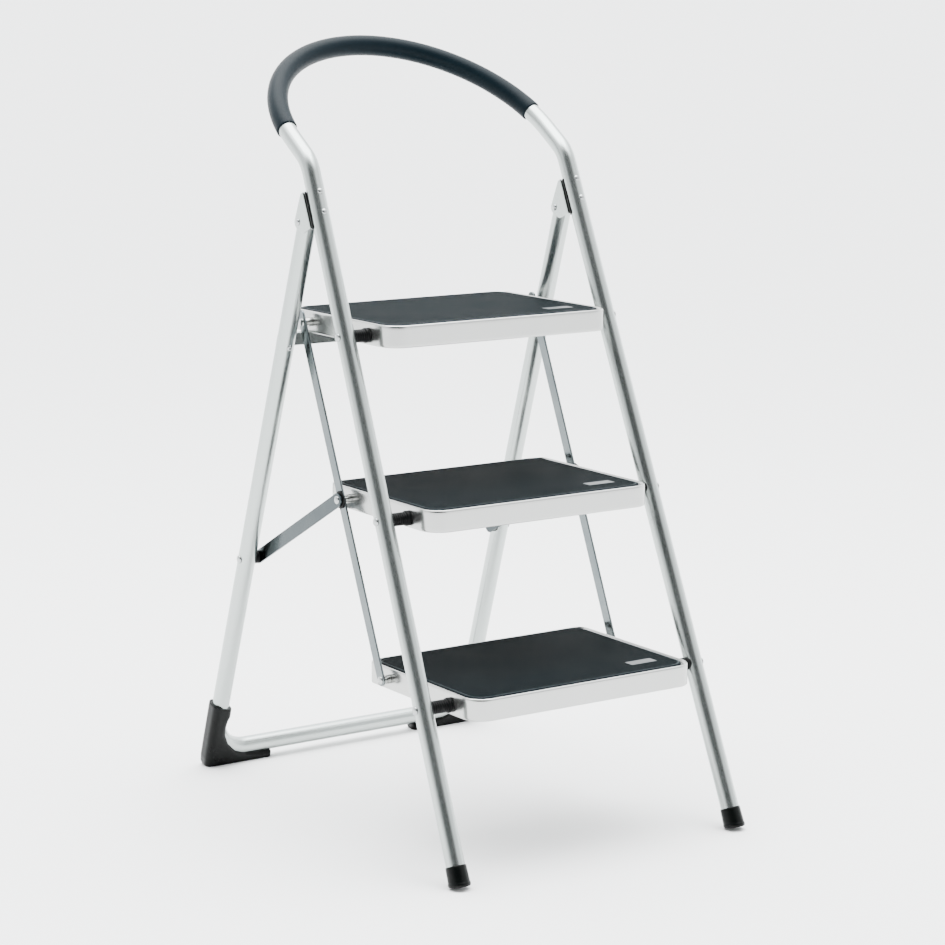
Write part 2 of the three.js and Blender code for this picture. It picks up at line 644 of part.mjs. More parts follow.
function buildTreadPivots() {
  const innerX = TREAD_HALF_WIDTH - SHEET - GAP;
  TREAD_NAMES.forEach((name, i) => {
    for (const { name: sideName, sign } of SIDES) {
      const place = frontAxis(sign, treadPivot(i).z);
      const outerX = Math.abs(place.x) + TUBE_RADIUS + GAP;
      const pin = rivet(outerX - innerX).rotateZ(sign > 0 ? Math.PI : 0);
      const start = new THREE.Vector3(sign * outerX, place.y, place.z);
      addPiece(`tread_pin_${name}_${sideName}`, pin, 'zinc', start);
      const block = turnAlongX([
        [HOLE_RADIUS, TREAD_HALF_WIDTH + GAP],
        [SPACER_FLANGE_RADIUS, TREAD_HALF_WIDTH + GAP],
        [SPACER_FLANGE_RADIUS, TREAD_HALF_WIDTH + SPACER_FLANGE],
        [SPACER_RADIUS, TREAD_HALF_WIDTH + SPACER_FLANGE],
        [SPACER_RADIUS, Math.abs(place.x)],
        [HOLE_RADIUS, Math.abs(place.x)],
        [HOLE_RADIUS, TREAD_HALF_WIDTH + GAP],
      ], RING_SIDES);
      if (sign < 0) block.rotateZ(Math.PI);
      block.translate(0, place.y, place.z);
      const leg = sweep([frontAxis(sign, place.z - 60), frontAxis(sign, place.z + 60)], TUBE_RADIUS + GAP);
      addPiece(`tread_spacer_${name}_${sideName}`, subtract(block, leg), 'plastic');
    }
  });
}

// Links

function ringAlongX(boreRadius, radius, lowX, highX, sign, place) {
  const ring = turnAlongX([
    [boreRadius, lowX], [radius, lowX], [radius, highX], [boreRadius, highX], [boreRadius, lowX],
  ], RING_SIDES);
  if (sign < 0) ring.rotateZ(Math.PI);
  return ring.translate(0, place.y, place.z);
}

function buildLongLinks() {
  const low = linkPivot(0);
  const high = linkPivot(TREAD_COUNT - 1);
  const shape = barShape(low, high, LONG_LINK_WIDTH, LONG_LINK_TOP_EXTRA);
  for (const { name, sign } of SIDES) {
    const lowX = sign > 0 ? LONG_LINK_INNER_X : -longLinkOuterX;
    const holes = TREAD_NAMES.map((_, i) => crossCutter(linkPivot(i), alongX, HOLE_RADIUS, 500));
    const bar = subtract(extrudeSideways(shape, lowX, lowX + LINK_THICKNESS), ...holes);
    addPiece(`long_link_${name}`, bar, 'zinc');
  }
}

function buildLinkPins() {
  const innerX = TREAD_HALF_WIDTH - SHEET - GAP;
  TREAD_NAMES.forEach((treadName, i) => {
    const outerX = (treadName === 'middle' ? shortLinkOuterX : longLinkOuterX) + GAP;
    for (const { name, sign } of SIDES) {
      const place = linkPivot(i);
      const pin = rivet(outerX - innerX).rotateZ(sign > 0 ? Math.PI : 0);
      addPiece(`link_pin_${treadName}_${name}`, pin, 'zinc',
        new THREE.Vector3(sign * outerX, place.y, place.z));
      const sleeve = ringAlongX(HOLE_RADIUS, SLEEVE_RADIUS, TREAD_HALF_WIDTH + GAP,
        LONG_LINK_INNER_X - GAP, sign, place);
      addPiece(`link_washer_${treadName}_${name}`, sleeve, 'zinc');
    }
  });
  for (const { name, sign } of SIDES) {
    const washer = ringAlongX(HOLE_RADIUS, WASHER_RADIUS, longLinkOuterX + GAP,
      longLinkOuterX + GAP + MIDDLE_WASHER_THICKNESS, sign, linkPivot(1));
    addPiece(`short_link_washer_${name}`, washer, 'plastic');
  }
}

function buildShortLinks() {
  for (const { name, sign } of SIDES) {
    const foot = rearAxis(sign, SHORT_LINK_FOOT_HEIGHT);
    const head = linkPivot(1);
    const lowX = sign > 0 ? shortLinkInnerX : -shortLinkOuterX;
    const shape = barShape(foot, head, SHORT_LINK_WIDTH);
    const hole = crossCutter(head, alongX, HOLE_RADIUS, 500);
    const bar = subtract(extrudeSideways(shape, lowX, lowX + LINK_THICKNESS), hole);
    addPiece(`short_link_${name}`, bar, 'zinc');
    const legInner = Math.abs(foot.x) - TUBE_RADIUS;
    const block = ringAlongX(HOLE_RADIUS, SPACER_RADIUS, shortLinkOuterX + GAP,
      legInner + 4, sign, foot);
    const leg = sweep([rearAxis(sign, foot.z - 60), rearAxis(sign, foot.z + 60)], TUBE_RADIUS + GAP);
    addPiece(`leg_spacer_${name}`, subtract(block, leg), 'plastic');
    const outerX = Math.abs(foot.x) + TUBE_RADIUS + GAP;
    const pin = legPin(outerX - shortLinkOuterX - GAP).rotateZ(sign > 0 ? Math.PI : 0);
    addPiece(`leg_pin_${name}`, pin, 'zinc', new THREE.Vector3(sign * outerX, foot.y, foot.z));
  }
}

// The pin in the rear leg has one head; its other end stops level with the spacer
function legPin(length) {
  return turnAlongX([
    [0, -HEAD_HEIGHT],
    [HEAD_RADIUS * 0.75, -HEAD_HEIGHT * 0.7],
    [HEAD_RADIUS, 0],
    [SHANK_RADIUS, 0],
    [SHANK_RADIUS, length],
    [0, length],
  ]);
}

buildFrontTube();
buildGrip();
buildFrontFeet();
buildBrackets();
buildRearTube();
buildStrut();
buildRearFeet();
buildTreads();
buildTreadPivots();
buildLongLinks();
buildLinkPins();
buildShortLinks();

export default stool;
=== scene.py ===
# Folding step stool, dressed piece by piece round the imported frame. Lengths are in metres.
import json
import math

import bmesh
import bpy
from mathutils import Matrix, Vector

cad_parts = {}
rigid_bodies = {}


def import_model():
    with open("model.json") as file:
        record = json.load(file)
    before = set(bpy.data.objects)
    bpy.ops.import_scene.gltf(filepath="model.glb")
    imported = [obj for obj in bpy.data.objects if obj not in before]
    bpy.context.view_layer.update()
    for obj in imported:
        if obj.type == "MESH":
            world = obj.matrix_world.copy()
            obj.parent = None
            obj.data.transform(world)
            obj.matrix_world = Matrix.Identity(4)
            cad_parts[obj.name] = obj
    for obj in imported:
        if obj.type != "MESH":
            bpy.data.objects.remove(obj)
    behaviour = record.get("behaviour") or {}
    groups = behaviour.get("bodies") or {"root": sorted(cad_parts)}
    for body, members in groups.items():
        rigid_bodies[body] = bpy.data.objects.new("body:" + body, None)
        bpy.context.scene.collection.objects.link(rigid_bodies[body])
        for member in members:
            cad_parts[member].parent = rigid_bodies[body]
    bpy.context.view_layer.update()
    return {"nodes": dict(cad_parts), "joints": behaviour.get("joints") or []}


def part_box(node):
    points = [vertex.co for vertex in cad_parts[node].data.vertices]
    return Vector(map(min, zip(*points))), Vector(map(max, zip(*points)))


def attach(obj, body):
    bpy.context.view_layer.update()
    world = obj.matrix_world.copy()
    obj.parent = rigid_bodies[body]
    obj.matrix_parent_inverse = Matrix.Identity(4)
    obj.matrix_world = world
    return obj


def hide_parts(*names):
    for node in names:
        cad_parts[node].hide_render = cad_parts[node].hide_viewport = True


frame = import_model()
joints = {joint["name"]: joint for joint in frame["joints"]}
scene = bpy.context.scene
print("frame loaded,", len(frame["nodes"]), "parts")

stool = {  # measures that several pieces share
    "frontLean": math.radians(23.3),
    "rearLean": math.radians(18.9),
    "hoopLean": math.radians(56.2),
    "frontHalfWidth": 0.224,  # middle of the front leg at the floor
    "rearHalfWidth": 0.222,
    "hingeHalfWidth": 0.210,
    "hingeBehindLeg": 0.036,
    "tubeRadius": 0.0125,
    "tubeWall": 0.0012,
    "tubeSides": 40,
    "pathStep": 0.04,  # points along a tube are no further apart than this
    "sheet": 0.0012,
}

hinge = Vector(joints["rear_frame_hinge"]["pos_m"])
linkPivot = Vector(joints["long_link_left_pivot"]["pos_m"])
treadNames = ["lower", "middle", "upper"]
treadPivots = {name: Vector(joints[name + "_tread_pivot"]["pos_m"]) for name in treadNames}
linkBack = linkPivot - treadPivots["middle"]
sides = {"left": -1, "right": 1}


def frontAxis(side, z):
    low = treadPivots["lower"]
    half = stool["frontHalfWidth"] + (stool["hingeHalfWidth"] - stool["frontHalfWidth"]) * z / hinge.z
    return Vector((side * half, low.y + (z - low.z) * math.tan(stool["frontLean"]), z))


def rearAxis(side, z):
    half = stool["rearHalfWidth"] + (stool["hingeHalfWidth"] - stool["rearHalfWidth"]) * z / hinge.z
    return Vector((side * half, hinge.y + (hinge.z - z) * math.tan(stool["rearLean"]), z))


# node helpers, used by the materials and by the geometry trees


class Wire:
    # one output socket; the usual operators add Math nodes to its tree
    def __init__(self, bench, socket):
        self.bench = bench
        self.socket = socket

    def maths(self, operation, *values):
        return self.bench.add("ShaderNodeMath", {"operation": operation}, dict(enumerate(values)))

    def __add__(self, other):
        return self.maths("ADD", self, other)

    def __sub__(self, other):
        return self.maths("SUBTRACT", self, other)

    def __rsub__(self, other):
        return self.maths("SUBTRACT", other, self)

    def __mul__(self, other):
        return self.maths("MULTIPLY", self, other)

    def __pow__(self, other):
        return self.maths("POWER", self, other)

    def atLeast(self, other):
        return self.maths("MAXIMUM", self, other)

    def atMost(self, other):
        return self.maths("MINIMUM", self, other)


class Bench:
    # a node tree being wired up
    def __init__(self, tree):
        self.tree = tree

    def add(self, kind, settings=None, inputs=None, out=0):
        node = self.tree.nodes.new(kind)
        for name, value in (settings or {}).items():
            setattr(node, name, value)
        for name, value in (inputs or {}).items():
            wires = [value] if isinstance(value, Wire) else value if isinstance(value, list) else []
            for wire in wires:
                self.tree.links.new(wire.socket, node.inputs[name])
            if not wires:
                node.inputs[name].default_value = value
        return Wire(self, node.outputs[out]) if node.outputs else node

    def noise(self, where, scale, detail, roughness=0.5):
        given = {"Vector": where, "Scale": scale, "Detail": detail, "Roughness": roughness}
        return self.add("ShaderNodeTexNoise", None, given)

    def mix(self, amount, first, second):
        # colours may be given as plain triples
        first, second = (tone if isinstance(tone, Wire) else (*tone, 1) for tone in (first, second))
        return self.add("ShaderNodeMix", {"data_type": "RGBA"}, {0: amount, 6: first, 7: second}, out=2)

    def bump(self, height, strength, distance):
        given = {"Strength": strength, "Distance": distance, "Height": height}
        return self.add("ShaderNodeBump", None, given)

    def objectPlace(self):
        return self.add("ShaderNodeTexCoord", out="Object")


def newFinish(label):
    finish = bpy.data.materials.new(label)
    finish.use_nodes = True
    finish.node_tree.nodes.clear()
    return finish, Bench(finish.node_tree)


def closeFinish(bench, inputs):
    shader = bench.add("ShaderNodeBsdfPrincipled", None, inputs)
    bench.add("ShaderNodeOutputMaterial", None, {"Surface": shader})


def silverCoat(label, **look):
    # powder coat: fine metal flake, a little orange peel, slow changes in gloss
    finish, bench = newFinish(label)
    where = bench.objectPlace()
    flake = bench.noise(where, 2400, 1)
    peel = bench.noise(where, look["peelScale"], 2)
    cloud = bench.noise(where, 7, 3, 0.6)
    shade = (flake - 0.5) * 0.7 + (cloud - 0.5) * 0.5 + 0.5
    colour = bench.mix(shade, look["dark"], look["light"])
    closeFinish(bench, {
        "Base Color": colour,
        "Metallic": look["metal"],
        "Roughness": (cloud - 0.5) * 0.06 + (flake - 0.5) * 0.05 + look["roughness"],
        "Coat Weight": look["coat"],
        "Coat Roughness": 0.2,
        "Normal": bench.bump(peel, look["peel"], 0.0004),
    })
    return finish


def brightZinc(label, **look):
    # thin bright plating: faint draw lines, a slight yellow and blue drift, soft dull spots
    finish, bench = newFinish(label)
    where = bench.objectPlace()
    lines = bench.add("ShaderNodeMapping", None, {"Vector": where, "Scale": look["lineStretch"]})
    streak = bench.noise(lines, 900, 3, 0.6)
    drift = bench.noise(where, 30, 2)
    spots = bench.noise(where, 260, 3, 0.65)
    colour = bench.mix(drift, look["cool"], look["warm"])
    colour = bench.mix((spots - 0.5).atLeast(0) * 0.8, colour, look["dull"])
    closeFinish(bench, {
        "Base Color": colour,
        "Metallic": 1.0,
        "Roughness": (streak - 0.5) * 0.12 + (spots - 0.5) * 0.2 + look["roughness"],
        "Normal": bench.bump(streak, 0.12, 0.0002),
    })
    return finish


def blackMoulding(label, **look):
    # moulded plastic or rubber with a fine spark-eroded grain
    finish, bench = newFinish(label)
    where = bench.objectPlace()
    grain = bench.noise(where, look["grainScale"], 3, 0.6)
    cloud = bench.noise(where, 55, 3, 0.6)
    scuff = bench.noise(where, 420, 4, 0.7)
    colour = bench.mix(cloud, look["dark"], look["light"])
    colour = bench.mix((scuff - 0.62).atLeast(0) * 1.6, colour, look["scuffed"])
    closeFinish(bench, {
        "Base Color": colour,
        "Roughness": (cloud - 0.5) * 0.16 + (grain - 0.5) * 0.1 + look["roughness"],
        "Specular IOR Level": look["specular"],
        "Normal": bench.bump(grain, look["grain"], 0.0003),
    })
    return finish


def ribbedRubber(label, **look):
    # tread rubber: matte, with a fine pebble and patchy tone; the top of the raised rim carries a painted
    # highlight
    finish, bench = newFinish(label)
    where = bench.objectPlace()
    cells = {"Vector": where, "Scale": look["pebbleScale"]}
    pebble = bench.add("ShaderNodeTexVoronoi", {"feature": "SMOOTH_F1"}, cells)
    patchy = bench.noise(where, 16, 4, 0.6)
    fine = bench.noise(where, 1500, 2)
    shade = (patchy - 0.5) * 1.3 + (fine - 0.5) * 0.5 + 0.5
    colour = bench.mix(shade, look["dark"], look["light"])
    # painted highlight: the top of the raised rim is mixed towards a lighter slate
    rim = bench.add("ShaderNodeAttribute", {"attribute_name": "rim"}, out="Fac")
    colour = bench.mix(rim * 0.8, colour, look["rim"])
    closeFinish(bench, {
        "Base Color": colour,
        "Roughness": (patchy - 0.5) * 0.2 + (fine - 0.5) * 0.1 + look["roughness"],
        "Specular IOR Level": look["specular"],
        "Normal": bench.bump(pebble + fine * 0.4, look["pebble"], 0.0004),
    })
    return finish


def foamSleeve(label, **look):
    # closed-cell foam: tiny pores in a skin, slightly blue, soft at the edges of the light
    finish, bench = newFinish(label)
    where = bench.objectPlace()
    cells = {"Vector": where, "Scale": look["poreScale"]}
    pores = bench.add("ShaderNodeTexVoronoi", {"feature": "F1"}, cells)
    skin = bench.noise(where, 320, 4, 0.65)
    cloud = bench.noise(where, 24, 3, 0.6)
    pit = (0.34 - pores).atLeast(0) * 2.4
    colour = bench.mix(cloud, look["dark"], look["light"])
    # painted shade: the pores are mixed towards a darker tone where shade falls in them
    colour = bench.mix(pit.atMost(1) * 0.6, colour, look["pit"])
    closeFinish(bench, {
        "Base Color": colour,
        "Roughness": (skin - 0.5) * 0.16 + (cloud - 0.5) * 0.1 + look["roughness"],
        "Specular IOR Level": look["specular"],
        "Normal": bench.bump(skin * 0.6 - pit, look["bump"], 0.0004),
    })
    return finish


def palePatch(label, **look):
    # blank printed foil on the mats
    finish, bench = newFinish(label)
    where = bench.objectPlace()
    rub = bench.noise(where, 500, 3, 0.6)
    colour = bench.mix(rub, look["dark"], look["light"])
    relief = bench.bump(rub, 0.1, 0.0002)
    closeFinish(bench, {"Base Color": colour, "Roughness": rub * 0.2 + 0.35, "Normal": relief})
    return finish


finishes = {
    "frame": silverCoat(
        "frameSilver", dark=(0.34, 0.375, 0.365), light=(0.45, 0.48, 0.468), metal=0.95,
        roughness=0.25, coat=0.06, peel=0.025, peelScale=900,
    ),
    "tread": silverCoat(
        "treadSilver", dark=(0.38, 0.385, 0.375), light=(0.48, 0.485, 0.475), metal=0.95,
        roughness=0.22, coat=0.08, peel=0.05, peelScale=700,
    ),
    # painted shade: both link finishes are painted very dark, the short links darkest, standing in for the
    # dark reflections the links show
    "shortLink": brightZinc(
        "shortLinkZincPaintedDark", cool=(0.030, 0.040, 0.046), warm=(0.060, 0.070, 0.072), dull=(0.022, 0.028, 0.030),
        roughness=0.15, lineStretch=(1.0, 0.15, 0.15),
    ),
    "link": brightZinc(
        "linkZincPaintedDark", cool=(0.085, 0.105, 0.115), warm=(0.16, 0.175, 0.175), dull=(0.06, 0.07, 0.07),
        roughness=0.15, lineStretch=(1.0, 0.15, 0.15),
    ),
    "rivet": brightZinc(
        "rivetZinc", cool=(0.32, 0.34, 0.35), warm=(0.40, 0.41, 0.40), dull=(0.20, 0.21, 0.21),
        roughness=0.2, lineStretch=(1.0, 1.0, 1.0),
    ),
    "spacer": blackMoulding(
        "spacerBlack", dark=(0.0015, 0.0018, 0.002), light=(0.003, 0.0034, 0.0036),
        scuffed=(0.008, 0.009, 0.009), roughness=0.42, specular=0.1, grain=0.15, grainScale=2200,
    ),
    "foot": blackMoulding(
        "footBlack", dark=(0.0008, 0.0012, 0.0011), light=(0.0018, 0.0025, 0.0023),
        scuffed=(0.005, 0.0060, 0.0057), roughness=0.3, specular=0.11, grain=0.16, grainScale=1500,
    ),
    # the rim colour is a painted highlight along the top of the mat's raised rim
    "mat": ribbedRubber(
        "matSlate", dark=(0.0015, 0.0038, 0.0047), light=(0.0032, 0.0070, 0.0084), rim=(0.085, 0.102, 0.108),
        roughness=0.56, specular=0.025, pebble=0.25, pebbleScale=900,
    ),
    "grip": foamSleeve(
        "gripFoam", dark=(0.0020, 0.0056, 0.0082), light=(0.0034, 0.0084, 0.0116),
        pit=(0.0012, 0.0026, 0.0034), roughness=0.4, specular=0.055, poreScale=1300, bump=0.35,
    ),
    "patch": palePatch("patchGrey", dark=(0.022, 0.028, 0.030), light=(0.034, 0.042, 0.044)),
}
print("finishes made,", len(finishes))


# mesh helpers


def meshPiece(label, points, faces, finish, smoothUnder=40):
    mesh = bpy.data.meshes.new(label)
    mesh.from_pydata([tuple(p) for p in points], [], faces)
    tidy = bmesh.new()
    tidy.from_mesh(mesh)
    bmesh.ops.remove_doubles(tidy, verts=tidy.verts, dist=1e-7)
    bmesh.ops.recalc_face_normals(tidy, faces=tidy.faces)
    tidy.to_mesh(mesh)
    tidy.free()
    mesh.shade_smooth()
    mesh.set_sharp_from_angle(angle=math.radians(smoothUnder))
    mesh.materials.append(finish)
    piece = bpy.data.objects.new(label, mesh)
    scene.collection.objects.link(piece)
    return piece


def loft(rings, caps=True):
    # joins rings of equal count; the first and last are filled
    count = len(rings[0])
    points = [point for ring in rings for point in ring]
    faces = []
    for r in range(len(rings) - 1):
        for k in range(count):
            a, b = r * count + k, r * count + (k + 1) % count
            faces.append((a, b, b + count, a + count))
    if caps:
        faces.append(tuple(range(count)))
        last = (len(rings) - 1) * count
        faces.append(tuple(range(last, last + count)))
    return points, faces


def lathe(profile, turns=28):
    # rings of (radius, height) about Z; radius 0 closes to the axis
    across, along, up = Vector((1, 0, 0)), Vector((0, 1, 0)), Vector((0, 0, 1))
    rings = [(up * height, max(radius, 1e-5)) for radius, height in profile]
    return loft([ringAround(centre, across, along, radius, turns) for centre, radius in rings])


def placeIn(points, origin, across, along, up):
    # points given in a piece's own axes, moved to the stool
    return [origin + across * p[0] + along * p[1] + up * p[2] for p in points]


def inputKey(tree, label):
    for item in tree.interface.items_tree:
        if item.item_type == "SOCKET" and item.in_out == "INPUT" and item.name == label:
            return item.identifier
    raise KeyError(label)


def newTree(label, sockets):
    tree = bpy.data.node_groups.new(label, "GeometryNodeTree")
    tree.interface.new_socket(name="Geometry", in_out="OUTPUT", socket_type="NodeSocketGeometry")
    for name, kind in {"Geometry": "Geometry", **sockets}.items():
        tree.interface.new_socket(name=name, in_out="INPUT", socket_type="NodeSocket" + kind)
    bench = Bench(tree)
    source = tree.nodes.new("NodeGroupInput")
    given = {socket.name: Wire(bench, socket) for socket in source.outputs if socket.name}
    return tree, bench, given


def closeTree(bench, geometry, finish):
    real = bench.add("GeometryNodeRealizeInstances", None, {"Geometry": geometry})
    done = bench.add("GeometryNodeSetMaterial", None, {"Geometry": real, "Material": finish})
    bench.add("NodeGroupOutput", None, {0: done})


def runTree(source, tree, values, label):
    # evaluates the tree on the source and keeps the result as a plain mesh
    modifier = source.modifiers.new("build", "NODES")
    modifier.node_group = tree
    for name, value in values.items():
        modifier[inputKey(tree, name)] = value
    bpy.context.view_layer.update()
    evaluated = source.evaluated_get(bpy.context.evaluated_depsgraph_get())
    mesh = bpy.data.meshes.new_from_object(evaluated)
    mesh.name = label
    source.modifiers.remove(modifier)
    piece = bpy.data.objects.new(label, mesh)
    scene.collection.objects.link(piece)
    bpy.data.objects.remove(source)
    return piece


def makeSweepTree():
    # a round tube along a path
    sockets = {"Radius": "Float", "Sides": "Int", "Finish": "Material"}
    tree, bench, given = newTree("sweepTube", sockets)
    ring = bench.add(
        "GeometryNodeCurvePrimitiveCircle", None, {"Resolution": given["Sides"], "Radius": given["Radius"]}
    )
    tube = bench.add("GeometryNodeCurveToMesh", None, {"Curve": given["Geometry"], "Profile Curve": ring})
    smooth = bench.add("GeometryNodeSetShadeSmooth", None, {"Geometry": tube})
    closeTree(bench, smooth, given["Finish"])
    return tree


def makeScatterTree():
    # puts the parts of a collection on points, turned to "aim" and stretched by "stretch"
    tree, bench, given = newTree("fixingsOnPoints", {"Parts": "Collection", "Finish": "Material"})
    parts = bench.add(
        "GeometryNodeCollectionInfo",
        {"transform_space": "ORIGINAL"},
        {"Collection": given["Parts"], "Separate Children": True, "Reset Children": True},
    )
    part, aim, stretch = (
        bench.add("GeometryNodeInputNamedAttribute", {"data_type": kind}, {"Name": name})
        for name, kind in (("part", "INT"), ("aim", "FLOAT_VECTOR"), ("stretch", "FLOAT_VECTOR"))
    )
    turn = bench.add("FunctionNodeAlignRotationToVector", {"axis": "Z"}, {"Vector": aim})
    placed = bench.add(
        "GeometryNodeInstanceOnPoints",
        None,
        {
            "Points": given["Geometry"],
            "Instance": parts,
            "Pick Instance": True,
            "Instance Index": part,
            "Rotation": turn,
            "Scale": stretch,
        },
    )
    closeTree(bench, placed, given["Finish"])
    return tree


def makeRibTree():
    # lays ribs across a mat, shorter where its corners are round
    sockets = {"Rib": "Object", "Count": "Int", "Pitch": "Float", "Start": "Vector"}
    sockets.update({"Half Width": "Float", "Corner": "Float", "Finish": "Material"})
    tree, bench, given = newTree("matRibs", sockets)
    step = bench.add("ShaderNodeCombineXYZ", None, {"Y": given["Pitch"]})
    row = bench.add(
        "GeometryNodeMeshLine",
        {"mode": "OFFSET"},
        {"Count": given["Count"], "Start Location": given["Start"], "Offset": step},
    )
    place = bench.add("GeometryNodeInputIndex")
    fromFront = place * given["Pitch"]
    fromRear = (given["Count"] - 1) * given["Pitch"] - fromFront
    missing = (given["Corner"] - fromFront.atMost(fromRear)).atLeast(0)
    reach = given["Half Width"] - given["Corner"]
    reach = reach + (given["Corner"] * given["Corner"] - missing * missing).atLeast(0) ** 0.5
    scale = bench.add("ShaderNodeCombineXYZ", None, {"X": reach, "Y": 1.0, "Z": 1.0})
    rib = bench.add("GeometryNodeObjectInfo", None, {"Object": given["Rib"]}, out="Geometry")
    ribs = bench.add("GeometryNodeInstanceOnPoints", None, {"Points": row, "Instance": rib, "Scale": scale})
    joined = bench.add("GeometryNodeJoinGeometry", None, {0: [ribs, given["Geometry"]]})
    closeTree(bench, joined, given["Finish"])
    return tree


sweepTree = makeSweepTree()
scatterTree = makeScatterTree()
ribTree = makeRibTree()


def fillIn(path, longest):
    # extra points wherever two neighbours are further apart than this
    filled = [path[0]]
    for before, after in zip(path, path[1:]):
        steps = math.ceil((after - before).length / longest)
        filled += [before.lerp(after, k / steps) for k in range(1, steps + 1)]
    return filled


def roundedPath(corners, radii, stepDegrees):
    # corner points joined by straight runs and arcs
    path = [corners[0]]
    for i in range(1, len(corners) - 1):
        before = (corners[i] - corners[i - 1]).normalized()
        after = (corners[i + 1] - corners[i]).normalized()
        turn = before.angle(after)
        start = corners[i] - before * radii[i - 1] * math.tan(turn / 2)
        inward = (after - before * before.dot(after)).normalized()
        steps = math.ceil(math.degrees(turn) / stepDegrees)
        for k in range(steps + 1):
            angle = turn * k / steps
            point = start + (before * math.sin(angle) + inward * (1 - math.cos(angle))) * radii[i - 1]
            if (point - path[-1]).length > 1e-5:
                path.append(point)
    path.append(corners[-1])
    return fillIn(path, stool["pathStep"])


def applyModifiers(piece):
    bpy.context.view_layer.update()
    evaluated = piece.evaluated_get(bpy.context.evaluated_depsgraph_get())
    mesh = bpy.data.meshes.new_from_object(evaluated)
    piece.modifiers.clear()
    piece.data = mesh


def frameTube(label, path):
    # a tube swept along the path, with its wall and with crisp cut ends
    curve = bpy.data.curves.new(label + "Path", "CURVE")
    curve.dimensions = "3D"
    line = curve.splines.new("POLY")
    line.points.add(len(path) - 1)
    for point, place in zip(line.points, path):
        point.co = (*place, 1)
    source = bpy.data.objects.new(label + "Path", curve)
    scene.collection.objects.link(source)
    values = {"Radius": stool["tubeRadius"], "Sides": stool["tubeSides"], "Finish": finishes["frame"]}
    tube = runTree(source, sweepTree, values, label)
    wall = tube.modifiers.new("wall", "SOLIDIFY")
    wall.thickness = stool["tubeWall"]
    wall.offset = -1
    applyModifiers(tube)
    tube.data.set_sharp_from_angle(angle=math.radians(40))
    return tube


def mirrored(point):
    return Vector((-point.x, point.y, point.z))


def ringAround(centre, first, second, radius, count):
    return [
        centre
        + first * radius * math.cos(2 * math.pi * k / count)
        + second * radius * math.sin(2 * math.pi * k / count)
        for k in range(count)
    ]


# front frame: one tube from foot to foot, with the hoop leaning back over the hinge

hoop = {
    "bendHeight": 0.8987,
    "bendRadius": 0.058,
    "armLength": 0.053,  # straight run between the bend and the half circle
    "footTop": 0.009,  # where the tube ends inside its cap
}
hoopUp = Vector((0, math.sin(stool["hoopLean"]), math.cos(stool["hoopLean"])))
hoopCorner = frontAxis(1, hoop["bendHeight"])


def buildFrontTube():
    top = hoopCorner + hoopUp * (hoop["armLength"] + hoopCorner.x)
    foot = frontAxis(1, hoop["footTop"])
    corners = [foot, hoopCorner, top, mirrored(top), mirrored(hoopCorner), mirrored(foot)]
    arc = hoopCorner.x - 0.00001  # a hair short, so the two quarter circles do not meet in one point
    path = roundedPath(corners, [hoop["bendRadius"], arc, arc, hoop["bendRadius"]], stepDegrees=2.5)
    tube = frameTube("frontTube", path)
    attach(tube, "front_frame")
    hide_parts("front_frame_tube")


grip = {
    "radius": 0.0144,
    "bore": 0.0127,
    "startDegrees": 5,
    "endDegrees": 169,
    "edgeRound": 0.0016,
    "edgeSteps": 5,
    "stations": 130,
    "sides": 44,
}


def buildGrip():
    centre = Vector((0, hoopCorner.y, hoopCorner.z)) + hoopUp * hoop["armLength"]
    reach = hoopCorner.x
    across = Vector((1, 0, 0))
    normal = across.cross(hoopUp)
    length = math.radians(grip["endDegrees"] - grip["startDegrees"]) * reach
    edge = grip["edgeRound"]
    stations = [(0.0, grip["bore"]), (0.0, grip["radius"] - edge)]
    for k in range(1, grip["edgeSteps"] + 1):
        angle = k / grip["edgeSteps"] * math.pi / 2
        stations.append((edge * (1 - math.cos(angle)), grip["radius"] - edge * (1 - math.sin(angle))))
    for k in range(1, grip["stations"]):
        stations.append((edge + (length - 2 * edge) * k / grip["stations"], grip["radius"]))
    stations += [(length - along, radius) for along, radius in reversed(stations[: grip["edgeSteps"] + 2])]
    rings = []
    for along, radius in stations:
        angle = math.radians(grip["startDegrees"]) + along / reach
        outward = across * -math.cos(angle) + hoopUp * math.sin(angle)
        rings.append(ringAround(centre + outward * reach, outward, normal, radius, grip["sides"]))
    points, faces = loft(rings, caps=False)
    sleeve = meshPiece("gripSleeve", points, faces, finishes["grip"], smoothUnder=50)
    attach(sleeve, "front_frame")
    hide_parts("handle_grip")


# front caps: turned about the leg, with a sole cut close to square

frontCap = {
    "soleTilt": math.radians(14),  # the sole is cut nearer to square with the leg than to level
    "soleHeight": 0.0034,  # middle of the sole over the floor, its rear edge stands on it
    "profile": [  # (height up the leg, radius) from the sole up
        (0.0000, 0.0126), (0.0003, 0.0138), (0.0012, 0.0146), (0.0030, 0.0149),
        (0.0044, 0.0149), (0.0050, 0.0145), (0.0058, 0.0144), (0.0150, 0.0141),
        (0.0245, 0.0138), (0.0259, 0.0136), (0.0265, 0.0131), (0.0265, 0.0127),
        (0.0220, 0.0126),
    ],
    "tiltedBelow": 0.012,  # rings under this turn from square to the sole's tilt
    "sides": 40,
}


